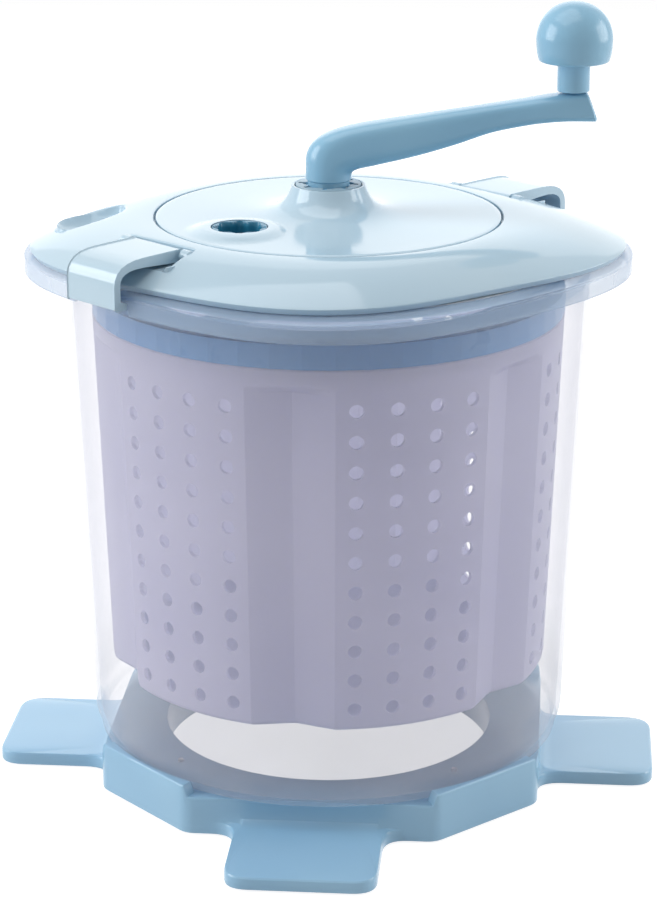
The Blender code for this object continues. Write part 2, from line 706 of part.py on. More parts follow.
def catch_tool(turn):
    """The slot in the tub's skirt that a latch's bead reaches into, and the rim edge it grips."""
    bead_tip = LATCH_PIVOT_RADIUS + LATCH_REACH - LATCH_THICKNESS - LATCH_BEAD
    bead_low = LATCH_PIVOT_Z - LATCH_DROP
    edge = bead_tip + CATCH_GAP
    ledge = TUB_TOP_Z - RIM_THICKNESS - GAP
    behind = max(bead_tip - 2 * LATCH_BEAD, TUB_TOP_RADIUS + PLAY)
    out = bead_tip + LATCH_THICKNESS + LATCH_REACH
    outline = (
        (behind, bead_low - CATCH_BELOW),
        (out, bead_low - CATCH_BELOW),
        (out, TUB_TOP_Z + OVERRUN),
        (edge, TUB_TOP_Z + OVERRUN),
        (edge, ledge + CATCH_CHAMFER),
        (edge - CATCH_CHAMFER, ledge),
        (behind, ledge),
    )
    far = -LATCH_WIDTH - 2 * POCKET_MARGIN
    return turned(bar("catch_tool", outline, far, 2 * POCKET_MARGIN), turn)


def basket_radius(height):
    share = (height - BASKET_CELLS_Z) / (BASKET_TOP_Z - BASKET_CELLS_Z)
    return BASKET_LOW_RADIUS + (BASKET_TOP_RADIUS - BASKET_LOW_RADIUS) * share


def basket_columns():
    """Angles of the wall's vertical lines, with the share of the groove's depth at each line and
    whether a column of holes stands between it and the next."""
    sector = 2 * pi / BASKET_PANELS
    panel = HOLE_COLUMNS * HOLE_COLUMN_STEP
    lines = []
    for i in range(BASKET_PANELS):
        start = BASKET_TURN + i * sector - panel / 2
        for j in range(HOLE_COLUMNS):
            lines.append((start + j * HOLE_COLUMN_STEP, 0.0, True))
        for j in range(BASKET_FLUTE_STEPS):
            share = j / BASKET_FLUTE_STEPS
            lines.append((start + panel + share * (sector - panel), sin(pi * share) ** 2, False))
    return lines


def wall_row(points, height, inset, groove_depth):
    """Points on the wall's vertical lines at one height, sunk where the grooves are."""
    row = []
    for angle, share, _ in basket_columns():
        r = basket_radius(height) - inset - groove_depth * share
        row.append(len(points))
        points.append((r * cos(angle), r * sin(angle), height))
    return row


def plain_row(points, radius, height):
    row = []
    for angle, _, _ in basket_columns():
        row.append(len(points))
        points.append((radius * cos(angle), radius * sin(angle), height))
    return row


def hole_rim(points, inset, middle, height):
    """The corners of a hole in the flat strip round the given angle, from its lowest corner."""
    rim = []
    for k in range(HOLE_SIDES):
        a = 2 * pi * k / HOLE_SIDES - pi / 2
        side = HOLE_RADIUS * cos(a)
        z = height + HOLE_RADIUS * sin(a)
        r = (basket_radius(z) - inset) * cos(HOLE_COLUMN_STEP / 2)
        rim.append(len(points))
        x = r * cos(middle) - side * sin(middle)
        y = r * sin(middle) + side * cos(middle)
        points.append((x, y, z))
    return rim


def pierced_strip(low_near, low_far, high_far, high_near, rims):
    """Two faces that share a strip with its column of holes between them."""
    half = HOLE_SIDES // 2
    right = [low_near, low_far]
    left = [low_far, high_far, high_near]
    right_chain = [rim[-k % HOLE_SIDES] for rim in rims for k in range(half + 1)]
    left_chain = [rim[k] for rim in rims for k in range(half + 1)]
    return [tuple(right + right_chain + [high_near]), tuple(left + left_chain[::-1])]


def build_basket(white, bush_plastic):
    """The wall is two skins of flat strips, with each hole's rim joined from skin to skin."""
    lines = basket_columns()
    count = len(lines)
    points = []
    faces = []
    skins = []
    skin_rims = []
    for inset in (0.0, BASKET_WALL):
        low_row = wall_row(points, BASKET_CELLS_Z, inset, GROOVE_DEPTH)
        high_row = wall_row(points, HOLES_TOP_Z, inset, GROOVE_DEPTH)
        skins.append((low_row, high_row))
        rims = []
        for i, (angle, _, holes) in enumerate(lines):
            j = (i + 1) % count
            if not holes:
                faces.append((low_row[i], low_row[j], high_row[j], high_row[i]))
                continue
            column = []
            for row in range(HOLE_ROWS):
                height = BASKET_CELLS_Z + (row + 0.5) * HOLE_ROW_PITCH
                column.append(hole_rim(points, inset, angle + HOLE_COLUMN_STEP / 2, height))
            faces += pierced_strip(low_row[i], low_row[j], high_row[j], high_row[i], column)
            rims += column
        skin_rims.append(rims)
    for outer, inner in zip(*skin_rims):
        for k in range(HOLE_SIDES):
            n = (k + 1) % HOLE_SIDES
            faces.append((outer[k], outer[n], inner[n], inner[k]))
    low = BASKET_BASE_Z
    edge = basket_radius(low) - BASKET_CORNER
    floor = low + BASKET_FLOOR
    rim_rows = [
        skins[0][1],
        wall_row(points, BASKET_BAND_Z, 0.0, 0.0),
        wall_row(points, BASKET_TOP_Z, 0.0, 0.0),
        wall_row(points, BASKET_TOP_Z, BASKET_WALL, 0.0),
        wall_row(points, BASKET_BAND_Z, BASKET_WALL, 0.0),
        skins[1][1],
    ]
    under_rows = [
        skins[0][0],
        plain_row(points, edge, low),
        plain_row(points, HUB_RADIUS, low),
        plain_row(points, HUB_RADIUS, low - HUB_DROP),
    ]
    over_rows = [
        skins[1][0],
        plain_row(points, edge - GROOVE_DEPTH, floor),
        plain_row(points, HUB_RADIUS, floor),
        plain_row(points, HUB_RADIUS, low - HUB_DROP + HUB_HEIGHT),
    ]
    for rows in (rim_rows, under_rows, over_rows):
        for first, second in zip(rows, rows[1:]):
            for i in range(count):
                j = (i + 1) % count
                faces.append((first[i], first[j], second[j], second[i]))
    faces += [tuple(under_rows[-1]), tuple(over_rows[-1])]
    basket = solid("basket", points, faces, white)
    pin_top = TUB_FLOOR_Z + PIVOT_POST_HEIGHT - PIVOT_PIN_SUNK + GAP + PIVOT_PIN_LENGTH
    bush_top = pin_top + GAP + BUSH_CAP
    bush_low = bush_top - BUSH_LENGTH
    bush_radius = PIVOT_PIN_RADIUS + GAP + BUSH_WALL
    cut(basket, drum("bush_tool", bush_radius + GAP, low - HUB_DROP - OVERRUN, bush_top + GAP))
    centre = axis("basket_axis", 0.0, 0.0, BASKET_BASE_Z)
    place(basket, centre)
    bore = PIVOT_PIN_RADIUS + GAP
    bush = ring_stack("basket_bush", (
        (0, bush_top),
        (bush_radius, bush_top),
        (bush_radius, bush_low),
        (bore, bush_low),
        (bore, pin_top + GAP),
        (0, pin_top + GAP)), SHAFT_SIDES, bush_plastic)
    place(bush, centre)
    return centre


def hexagon(radius):
    return circle(radius, HEX_SIDES)


def build_cover(blue, basket_centre):
    """The basket's cover: a ring that sits on the basket, with spokes to a hexagonal socket."""
    sides = len(basket_columns())
    turn = BASKET_TURN - HOLE_COLUMNS * HOLE_COLUMN_STEP / 2
    outer = BASKET_TOP_RADIUS
    spigot = basket_radius(BASKET_BAND_Z) - BASKET_WALL - 2 * GAP
    ring_inner = outer - COVER_RING_WIDTH
    plate_low = COVER_TOP_Z - COVER_PLATE
    spigot_low = COVER_BASE_Z - COVER_SPIGOT_DEPTH
    rings = (
        (outer, COVER_BASE_Z), (outer, COVER_TOP_Z), (ring_inner, COVER_TOP_Z),
        (ring_inner, plate_low), (spigot - COVER_SPIGOT_WALL, plate_low),
        (spigot - COVER_SPIGOT_WALL, spigot_low), (spigot, spigot_low), (spigot, COVER_BASE_Z))
    cover = turned(ring_stack("basket_cover", rings, sides, blue), turn)
    parts = [drum("hub_tool", COVER_HUB_RADIUS, COVER_HUB_TOP_Z - COVER_HUB_HEIGHT, COVER_HUB_TOP_Z)]
    half = COVER_SPOKE_WIDTH / 2
    reach = ring_inner + COVER_WALL
    for i in range(COVER_SPOKES):
        outline = [(0.0, -half), (reach, -half), (reach, half), (0.0, half)]
        low = COVER_TOP_Z - COVER_SPOKE_DEPTH
        spoke = prism("spoke_tool", outline, low, COVER_TOP_Z - GAP)
        parts.append(turned(spoke, BASKET_TURN + 2 * pi * i / COVER_SPOKES))
    join(cover, *parts)
    socket_low = COVER_HUB_TOP_Z - COVER_HUB_HEIGHT - OVERRUN
    cut(cover, prism("hex_tool", hexagon(HEX_RADIUS + PLAY), socket_low, COVER_HUB_TOP_Z + OVERRUN))
    place(cover, basket_centre)
    return cover


def lid_edge(angle):
    """The lid's outline, which also swells a little towards the latches."""
    swell = ((1 + cos(2 * (angle - LATCH_TURNS["right"]))) / 2) ** 2
    return lobed(LID_MEAN, LID_OVAL, LID_SQUARE)(angle) + LID_LATCH_SWELL * swell


def dome_height(share):
    """The dome falls to its flank along a parabola, by the share of the way to the lid's edge."""
    flank = LID_BASE_Z + LID_FLANK_Z
    return flank + (LID_TOP_Z - flank) * (1 - share ** LID_DOME_POWER)


def lid_surface(radius, angle):
    """The height of the lid's dome at a place."""
    share = (radius - LID_DOME_START) / (lid_edge(angle) - LID_DOME_START)
    return dome_height(min(max(share, 0.0), 1.0))


def dome_ring(share):
    return (lambda a: LID_DOME_START + share * (lid_edge(a) - LID_DOME_START), dome_height(share))


def build_lid(blue, seal_rubber, steel):
    hole = SOCKET_RING_RADIUS + 2 * GAP
    inner = SPIGOT_RADIUS - SPIGOT_WALL
    spigot_low = LID_BASE_Z - SPIGOT_DEPTH
    rings = [(hole, LID_FLOOR_Z), (RECESS_RADIUS, LID_FLOOR_Z), (RECESS_RADIUS, LID_TOP_Z)]
    rings += [dome_ring(share) for share in LID_DOME_SHARES]
    rings += [
        (lid_edge, LID_BASE_Z),
        (SPIGOT_RADIUS, LID_BASE_Z),
        (SPIGOT_RADIUS, spigot_low + SPIGOT_LIP_HEIGHT),
        (SPIGOT_RADIUS + SPIGOT_LIP, spigot_low + SPIGOT_LIP_HEIGHT),
        (SPIGOT_RADIUS + SPIGOT_LIP, spigot_low),
        (inner, spigot_low),
        (inner, LID_UNDER_Z - 2 * LID_FLOOR),
        (inner * LID_FLAT_SHARE, LID_UNDER_Z),
        (hole, LID_UNDER_Z),
    ]
    lid = ring_stack("lid", rings, ROUND, blue)
    pocket_floor = LATCH_PIVOT_Z - LATCH_BARREL - POCKET_FLOOR_GAP
    block_low = pocket_floor - LID_FLOOR
    back = LATCH_PIVOT_RADIUS - LATCH_BARREL - POCKET_BACK_GAP
    blocks = []
    for turn in LATCH_TURNS.values():
        low_in = back - LID_FLOOR
        low_out = SPIGOT_RADIUS - SPIGOT_WALL / 2
        block_top = LATCH_PIVOT_Z - LATCH_BARREL
        outline = ((low_in, block_low), (low_out, block_low), (low_out, block_top), (low_in, block_top))
        far = -LATCH_WIDTH - POCKET_SIDE - LID_FLOOR
        blocks.append(turned(bar("block_tool", outline, far, POCKET_SIDE + LID_FLOOR), turn))
    inlet_top = lid_surface(abs(INLET_X), pi)
    tray_low = inlet_top - INLET_DEPTH - INLET_FLOOR
    grow = INLET_FLOOR / 2
    blocks.append(scoop_tool(tray_low, LID_UNDER_Z, grow))
    join(lid, *blocks)
    tools = [scoop_tool(inlet_top - INLET_DEPTH, LID_TOP_Z + OVERRUN, -grow), inlet_hole_tool(tray_low)]
    low = LID_UNDER_Z - OVERRUN
    offset_hole = SOCKET_TUBE_RADIUS + PLAY
    tools.append(drum("offset_tool", offset_hole, low, LID_TOP_Z, SHAFT_SIDES, OFFSET_X, OFFSET_Y))
    for x, y in case_screw_places():
        tools.append(drum("screw_tool", CASE_SCREW_RADIUS + GAP, low, LID_TOP_Z, SMALL_SIDES, x, y))
    out = LATCH_PIVOT_RADIUS + LATCH_REACH
    over = LID_TOP_Z + OVERRUN
    for turn in LATCH_TURNS.values():
        outline = ((back, pocket_floor), (out, pocket_floor), (out, over), (back, over))
        tools.append(turned(bar("pocket_tool", outline, -LATCH_WIDTH - POCKET_SIDE, POCKET_SIDE), turn))
    cut(lid, *tools)
    ears = []
    bores = []
    for turn in LATCH_TURNS.values():
        for start in (POCKET_MARGIN + GAP, -LATCH_WIDTH - POCKET_MARGIN - GAP - EAR_LENGTH):
            outline = circle(EAR_RADIUS, SMALL_SIDES, LATCH_PIVOT_RADIUS, LATCH_PIVOT_Z)
            ears.append(turned(bar("ear_tool", outline, start, start + EAR_LENGTH), turn))
        outline = circle(LATCH_PIN_RADIUS + GAP, SMALL_SIDES, LATCH_PIVOT_RADIUS, LATCH_PIVOT_Z)
        half = EAR_LENGTH / 2
        far = -LATCH_WIDTH - POCKET_MARGIN - half - GAP
        bores.append(turned(bar("pin_tool", outline, far, POCKET_MARGIN + half + GAP), turn))
    join(lid, *ears)
    cut(lid, *bores)
    lift = axis("lid_axis", 0.0, 0.0, LID_BASE_Z)
    place(lid, lift)
    seal_low = spigot_low + SPIGOT_LIP_HEIGHT + GAP
    seal_in = SPIGOT_RADIUS + GAP
    seal_out = MOUTH_RADIUS - GAP
    seal_top = LID_BASE_Z - GAP
    rings = ((seal_in, seal_low), (seal_out, seal_low), (seal_out, seal_top), (seal_in, seal_top))
    seal = ring_stack("lid_seal", rings, ROUND, seal_rubber)
    place(seal, lift)
    for side, turn in LATCH_TURNS.items():
        outline = circle(LATCH_PIN_RADIUS, SMALL_SIDES)
        half = EAR_LENGTH / 2
        far = -LATCH_WIDTH - POCKET_MARGIN - half
        pin = bar(f"latch_pin_{side}", outline, far, POCKET_MARGIN + half, steel)
        x = LATCH_PIVOT_RADIUS * cos(turn)
        y = LATCH_PIVOT_RADIUS * sin(turn)
        place(pin, lift, x, y, LATCH_PIVOT_Z, turn)
    return lift


def scoop_tool(low, high, grow):
    """A boat-shaped block, drawn out to a point at each end."""
    outline = []
    for i in range(INLET_SIDES):
        a = 2 * pi * i / INLET_SIDES
        side = abs(sin(a)) ** INLET_POINT_POWER
        if sin(a) < 0:
            side = -side
        outline.append(((INLET_LENGTH / 2 + grow) * cos(a), (INLET_WIDTH / 2 + grow) * side))
    return turned(prism("scoop_tool", outline, low, high), INLET_TURN, INLET_X, INLET_Y)


def inlet_hole_tool(low):
    """The hole at the scoop's inner end that water is poured through."""
    x = INLET_X + INLET_HOLE_OUT * cos(INLET_TURN)
    y = INLET_Y + INLET_HOLE_OUT * sin(INLET_TURN)
    return drum("inlet_tool", INLET_HOLE_RADIUS, low - OVERRUN, low + INLET_DEPTH, SMALL_SIDES, x, y)


def build_gear_cover(blue, lift):
    """The disc over the gears, drawn up to a boss at the centre and a mound round the offset socket."""
    bore = SOCKET_RING_RADIUS + PLAY
    lip_in = DISC_RADIUS - DISC_LIP_WIDTH
    flare = DISC_RADIUS - BOSS_RADIUS
    top = [(BOSS_RADIUS + flare * out, LID_TOP_Z + BOSS_HEIGHT * up) for out, up in BOSS_SHARES]
    under = [(r, z - DISC_THICKNESS) for r, z in top[:-1:2]]
    rings = [(bore, RING_TOP_Z - GAP)] + top[::-1]
    rings += [(DISC_RADIUS, LID_TOP_Z), (DISC_RADIUS, LID_FLOOR_Z + GAP), (lip_in, LID_FLOOR_Z + GAP)]
    rings += [(lip_in, LID_TOP_Z - DISC_THICKNESS)] + under
    rings += [(bore, RING_TOP_Z - GAP - 2 * DISC_THICKNESS)]
    disc = ring_stack("gear_cover", rings, ROUND, blue)
    mound_low = LID_TOP_Z - DISC_THICKNESS / 2
    mound_top = SOCKET_TUBE_RADIUS + GAP + MOUND_TOP_WALL
    mound = ring_stack("mound_tool", (
        (0, mound_low),
        (MOUND_FOOT, mound_low),
        (MOUND_FOOT, LID_TOP_Z),
        (mound_top, MOUND_TOP_Z),
        (0, MOUND_TOP_Z)), SHAFT_SIDES)
    parts = [turned(mound, GEAR_OFFSET_TURN, OFFSET_X, OFFSET_Y)]
    for x, y in case_screw_places():
        boss_low = LID_FLOOR_Z + GAP
        parts.append(drum("boss_tool", SCREW_BOSS_RADIUS, boss_low, LID_TOP_Z, SMALL_SIDES, x, y))
    join(disc, *parts)
    hole = SOCKET_TUBE_RADIUS + PLAY
    over = MOUND_TOP_Z + OVERRUN
    tools = [drum("socket_tool", hole, LID_FLOOR_Z, over, SHAFT_SIDES, OFFSET_X, OFFSET_Y)]
    for x, y in case_screw_places():
        low = LID_FLOOR_Z - OVERRUN
        high = screw_end_z() + GAP
        tools.append(drum("screw_tool", CASE_SCREW_RADIUS + GAP, low, high, SMALL_SIDES, x, y))
    cut(disc, *tools)
    place(disc, lift)
    return disc


def screw_end_z():
    """The case screws end inside the gear cover's bosses."""
    return LID_TOP_Z - DISC_THICKNESS / 2


def build_gear_case(white, screw_steel, lift):
    """The box round both gears, the bush in its floor, and the screws up into the gear cover."""
    case = prism("gear_case", belt_outline(CASE_WALL), CASE_BASE_Z, CASE_TOP_Z, white)
    flange_z = CASE_TOP_Z - CASE_FLANGE_HEIGHT
    join(case, prism("flange_tool", belt_outline(CASE_WALL + CASE_FLANGE), flange_z, CASE_TOP_Z))
    cut(case, prism("hollow_tool", belt_outline(0.0), CASE_BASE_Z + CASE_FLOOR, CASE_TOP_Z + OVERRUN))
    collar_radius = OFFSET_JOURNAL_RADIUS + GAP + CASE_COLLAR_WALL
    collar_low = CASE_BASE_Z + CASE_FLOOR / 2
    join(case, drum("collar_tool", collar_radius, collar_low, BEARING_Z, SHAFT_SIDES, OFFSET_X, OFFSET_Y))
    low = CASE_BASE_Z - OVERRUN
    journal = OFFSET_JOURNAL_RADIUS + GAP
    tools = [
        drum("journal_tool", journal, low, CASE_TOP_Z, SHAFT_SIDES, OFFSET_X, OFFSET_Y),
        drum("bush_tool", SHAFT_BUSH_RADIUS + GAP, low, CASE_TOP_Z),
    ]
    over = CASE_TOP_Z + OVERRUN
    for x, y in case_screw_places():
        tools.append(drum("screw_tool", CASE_SCREW_RADIUS + GAP, CASE_BASE_Z, over, SMALL_SIDES, x, y))
    cut(case, *tools)
    place(case, lift)
    flange_low = BEARING_Z - SHAFT_BUSH_FLANGE_HEIGHT
    flange_out = SHAFT_BUSH_RADIUS + SHAFT_BUSH_FLANGE
    bush_in = SHAFT_JOURNAL_RADIUS + GAP
    bush = ring_stack("shaft_bush", (
        (bush_in, CASE_BASE_Z), (SHAFT_BUSH_RADIUS, CASE_BASE_Z), (SHAFT_BUSH_RADIUS, flange_low),
        (flange_out, flange_low), (flange_out, BEARING_Z), (bush_in, BEARING_Z)), SHAFT_SIDES, white)
    place(bush, lift)
    head_z = CASE_TOP_Z - CASE_FLANGE_HEIGHT - GAP
    sizes = (CASE_SCREW_HEAD, CASE_SCREW_HEAD_HEIGHT, CASE_SCREW_RADIUS, screw_end_z() - head_z)
    for i, (x, y) in enumerate(case_screw_places()):
        place(screw(f"case_screw_{i + 1}", *sizes, screw_steel), lift, x, y, head_z)


def build_centre_drive(pale, deep, screw_steel, lift):
    """The centre gear with its toothed socket ring, and the hexagonal shaft that drives the basket."""
    centre = axis("centre_axis", 0.0, 0.0, GEAR_BASE_Z, parent=lift)
    first = GEAR_OFFSET_TURN + pi / CENTRE_TEETH
    gear = prism("centre_gear", gear_outline(CENTRE_TEETH, first), GEAR_BASE_Z, GEAR_TOP_Z, pale)
    join(gear, drum("tube_tool", SOCKET_RING_RADIUS, GEAR_TOP_Z - GEAR_FACE / 2, RING_TOP_Z))
    plug_top = GEAR_BASE_Z + SHAFT_PLUG_LENGTH
    cut(gear,
        prism("socket_tool", spline(GAP), SOCKET_FLOOR_Z, RING_TOP_Z + OVERRUN),
        prism("plug_tool", hexagon(SHAFT_PLUG_RADIUS + PLAY), GEAR_BASE_Z - OVERRUN, plug_top + GAP),
        drum("screw_tool", SHAFT_SCREW_RADIUS + GAP, GEAR_BASE_Z, SOCKET_FLOOR_Z + OVERRUN, SMALL_SIDES))
    place(gear, centre)
    shaft_low = COVER_HUB_TOP_Z - COVER_HUB_HEIGHT + PLAY
    shaft = prism("drive_shaft", hexagon(HEX_RADIUS), shaft_low, CASE_BASE_Z, deep)
    join(shaft,
         drum("journal_tool", SHAFT_JOURNAL_RADIUS, CASE_BASE_Z - PLAY, BEARING_Z),
         prism("plug_tool", hexagon(SHAFT_PLUG_RADIUS), CASE_BASE_Z, plug_top))
    bite_low = plug_top - SHAFT_SCREW_BITE
    cut(shaft, drum("screw_tool", SHAFT_SCREW_RADIUS + GAP, bite_low - GAP, plug_top + OVERRUN, SMALL_SIDES))
    place(shaft, centre)
    head_z = SOCKET_FLOOR_Z + GAP
    head_top = head_z + SHAFT_SCREW_HEAD_HEIGHT
    rings = (
        (0, head_top),
        (SHAFT_SCREW_HEAD, head_top),
        (SHAFT_SCREW_HEAD, head_z),
        (SHAFT_SCREW_RADIUS, head_z),
        (SHAFT_SCREW_RADIUS, bite_low),
        (0, bite_low),
    )
    place(ring_stack("shaft_screw", rings, SMALL_SIDES, screw_steel), centre)
    return centre


def build_offset_drive(deep, lift):
    """The smaller gear whose socket takes the crank for slow, strong turning."""
    teeth = gear_outline(OFFSET_TEETH, GEAR_OFFSET_TURN + pi)
    gear = prism("offset_gear", teeth, GEAR_BASE_Z, GEAR_TOP_Z, deep)
    tube_top = MOUND_TOP_Z - GAP
    join(gear,
         drum("tube_tool", SOCKET_TUBE_RADIUS, GEAR_TOP_Z - GEAR_FACE / 2, tube_top),
         drum("journal_tool", OFFSET_JOURNAL_RADIUS, CASE_BASE_Z, GEAR_BASE_Z + OFFSET_WEB / 2))
    cut(gear, prism("socket_tool", spline(GAP), GEAR_BASE_Z + OFFSET_WEB, tube_top + OVERRUN))
    centre = axis("offset_axis", OFFSET_X, OFFSET_Y, GEAR_BASE_Z, parent=lift)
    place(gear, centre, OFFSET_X, OFFSET_Y)
    return centre


def arm_section(x, top, bottom, half):
    """A ring of points round the arm: a rectangle with well-rounded corners."""
    ring = []
    middle = (top + bottom) / 2
    tall = (top - bottom) / 2
    for i in range(ARM_SECTION_POINTS):
        a = 2 * pi * (i + 0.5) / ARM_SECTION_POINTS
        y = half * abs(cos(a)) ** ARM_SECTION_POWER * (1 if cos(a) > 0 else -1)
        z = tall * abs(sin(a)) ** ARM_SECTION_POWER * (1 if sin(a) > 0 else -1)
        ring.append((x, y, middle + z))
    return ring


def build_crank(blue, steel, drive_centre):
    """The arm is a row of sections from the hub to the knob, joined to the hub and its splined plug."""
    lift = axis("crank_axis", 0.0, 0.0, HUB_CRANK_Z, parent=drive_centre)
    sections = []
    arm_low = HUB_CRANK_TOP_Z - ARM_DEPTH * ARM_SHARES[0][2]
    for out, drop in HUB_CROWN_SHARES:
        half = HUB_CRANK_RADIUS * sqrt(1 - out * out)
        top = HUB_CRANK_TOP_Z - HUB_CROWN_DROP * drop
        sections.append(arm_section(HUB_CRANK_RADIUS * out, top, arm_low, half))
    for out, rise, depth, width in ARM_SHARES:
        top = HUB_CRANK_TOP_Z + ARM_RISE * rise
        sections.append(arm_section(CRANK_REACH * out, top, top - ARM_DEPTH * depth, ARM_HALF_WIDTH * width))
    points = [point for ring in sections for point in ring]
    size = ARM_SECTION_POINTS
    faces = [tuple(range(size)), tuple(range(len(points) - size, len(points)))]
    for start in range(0, len(points) - size, size):
        for i in range(size):
            j = (i + 1) % size
            faces.append((start + i, start + j, start + size + j, start + size + i))
    arm = solid("crank_arm", points, faces, blue)
    join(arm,
         drum("hub_tool", HUB_CRANK_RADIUS, HUB_CRANK_Z, (arm_low + HUB_CRANK_TOP_Z) / 2),
         prism("plug_tool", spline(), PLUG_END_Z, HUB_CRANK_Z + CRANK_SEAT))
    block_low = HUB_CRANK_TOP_Z + ARM_RISE - ARM_DEPTH * ARM_SHARES[-2][2]
    low = block_low - ARM_DEPTH
    head_low = block_low + GAP
    head_top = head_low + KNOB_PIN_HEAD_HEIGHT
    pin_top = KNOB_CAP_Z + KNOB_HEIGHT * KNOB_PIN_SHARE
    cut(arm,
        drum("pin_tool", KNOB_PIN_RADIUS + GAP, low, KNOB_TOP_Z, SMALL_SIDES, CRANK_REACH),
        drum("head_tool", KNOB_PIN_HEAD + GAP, low, head_top + GAP, KNOB_SIDES, CRANK_REACH))
    place(arm, lift)
    rings = ((0, head_low), (KNOB_PIN_HEAD, head_low), (KNOB_PIN_HEAD, head_top))
    rings += ((KNOB_PIN_RADIUS, head_top), (KNOB_PIN_RADIUS, pin_top), (0, pin_top))
    place(ring_stack("knob_pin", rings, KNOB_SIDES, steel), lift, CRANK_REACH)
    knob_axis = axis("knob_axis", CRANK_REACH, 0.0, KNOB_BASE_Z, parent=lift)
    bore = KNOB_PIN_RADIUS + GAP
    rings = [(0, pin_top + GAP), (bore, pin_top + GAP), (bore, KNOB_BASE_Z)]
    rings += [(KNOB_NECK_RADIUS, KNOB_BASE_Z), (KNOB_NECK_RADIUS, KNOB_CAP_Z)]
    rings += [(KNOB_RADIUS * out, KNOB_CAP_Z + KNOB_HEIGHT * up) for out, up in KNOB_SHARES]
    rings += [(0, KNOB_TOP_Z)]
    place(ring_stack("crank_knob", rings, KNOB_SIDES, blue), knob_axis, CRANK_REACH)


def latch_outline():
    """The latch's profile: hinge barrel, strap, bend, leg and bead, from its pivot outwards."""
    barrel = arc(0.0, 0.0, LATCH_BARREL, radians(85), radians(292), 2 * ARC_STEPS)
    outer = LATCH_REACH
    inner = outer - LATCH_THICKNESS
    top = LATCH_BARREL - LATCH_STRAP_FALL
    inside_bend = LATCH_BEND - LATCH_THICKNESS
    low = -LATCH_DROP
    tip = inner - LATCH_BEAD
    outline = barrel
    outline += arc(inner - inside_bend, top - LATCH_BEND, inside_bend, radians(80), 0.0)
    outline += [
        (inner, low + LATCH_BEAD_HEIGHT + LATCH_BEAD_SLOPE),
        (tip, low + LATCH_BEAD_HEIGHT),
        (tip, low + LATCH_EDGE),
        (tip + LATCH_EDGE, low),
        (outer - LATCH_EDGE, low),
        (outer, low + LATCH_EDGE),
    ]
    outline += arc(outer - LATCH_BEND, top - LATCH_BEND, LATCH_BEND, 0.0, radians(85))
    return outline


def build_latches(blue, lift):
    for side, turn in LATCH_TURNS.items():
        latch = bar(f"latch_{side}", latch_outline(), -LATCH_WIDTH, 0.0, blue)
        bore = circle(LATCH_PIN_RADIUS + GAP, SMALL_SIDES)
        cut(latch, bar("bore_tool", bore, -LATCH_WIDTH - OVERRUN, OVERRUN))
        x = LATCH_PIVOT_RADIUS * cos(turn)
        y = LATCH_PIVOT_RADIUS * sin(turn)
        hinge = axis(f"latch_{side}_axis", x, y, LATCH_PIVOT_Z, turn, lift)
        place(latch, hinge, x, y, LATCH_PIVOT_Z, turn)


def build_washer():
    clear_file()
    pale_blue = finish("pale_blue", (0.60, 0.80, 0.89), 0.25)
    crank_blue = finish("crank_blue", (0.43, 0.70, 0.82), 0.3)
    deep_blue = finish("deep_blue", (0.06, 0.28, 0.50), 0.35)
    pale_grey = finish("pale_grey", (0.72, 0.80, 0.84), 0.35)
    lilac = finish("lilac_white", (0.78, 0.77, 0.88), 0.35)
    clear = finish("clear_plastic", (0.93, 0.94, 0.97), 0.08, alpha=0.35)
    white = finish("white_plastic", (0.86, 0.87, 0.88), 0.4)
    rubber = finish("grey_rubber", (0.45, 0.50, 0.53), 0.8)
    seal_rubber = finish("seal_silicone", (0.80, 0.83, 0.86), 0.6)
    steel = finish("steel", (0.70, 0.71, 0.72), 0.25, 1.0)
    base = build_base(pale_blue, rubber)
    build_tub(clear, steel, base)
    basket_centre = build_basket(lilac, white)
    build_cover(crank_blue, basket_centre)
    lift = build_lid(pale_blue, seal_rubber, steel)
    build_gear_cover(pale_blue, lift)
    build_gear_case(white, steel, lift)
    drive_centre = build_centre_drive(pale_grey, deep_blue, steel, lift)
    build_offset_drive(deep_blue, lift)
    build_crank(crank_blue, steel, drive_centre)
    build_latches(pale_blue, lift)


build_washer()
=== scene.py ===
"""The look of a hand-crank washing machine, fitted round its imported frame.

Metres, +Z up. The origin is on the basket's axis, at the surface that the feet rest on.
"""
from math import pi, radians

import bmesh
import bpy
import numpy as np
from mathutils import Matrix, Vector


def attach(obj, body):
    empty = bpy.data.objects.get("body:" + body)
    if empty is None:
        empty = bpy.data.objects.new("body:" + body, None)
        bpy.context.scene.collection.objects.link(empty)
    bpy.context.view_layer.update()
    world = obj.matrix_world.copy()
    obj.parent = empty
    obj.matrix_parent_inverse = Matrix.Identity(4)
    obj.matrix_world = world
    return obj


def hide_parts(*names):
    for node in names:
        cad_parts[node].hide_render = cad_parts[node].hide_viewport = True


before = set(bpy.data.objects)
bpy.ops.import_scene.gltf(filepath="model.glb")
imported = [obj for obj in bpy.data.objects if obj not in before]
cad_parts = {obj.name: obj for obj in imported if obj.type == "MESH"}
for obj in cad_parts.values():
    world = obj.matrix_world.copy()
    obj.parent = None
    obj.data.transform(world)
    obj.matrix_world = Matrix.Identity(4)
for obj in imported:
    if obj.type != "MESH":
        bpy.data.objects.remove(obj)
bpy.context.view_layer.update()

# Base ring: one blue moulding with four flat feet. Its octagonal plinth carries the tub on a deck,
# and four raised corners keep the tub in its place. Screws come up through the deck.
BASE_TURN = radians(-4.8)
FACET_OUT = 0.118
FACET_HALF = 0.06608
PLINTH_BORE = 0.090
PLINTH_WALL = 0.003
PLINTH_LOW = 0.001
PLINTH_UNDER = 0.0185
PLINTH_DECK = 0.0217
PLINTH_LIP = 0.006
LIP_HALF = radians(15.4)
LIP_END = radians(0.8)
PLINTH_SEAT = 0.1275
FOOT_TOP = 0.008
FOOT_REACH = 0.1805
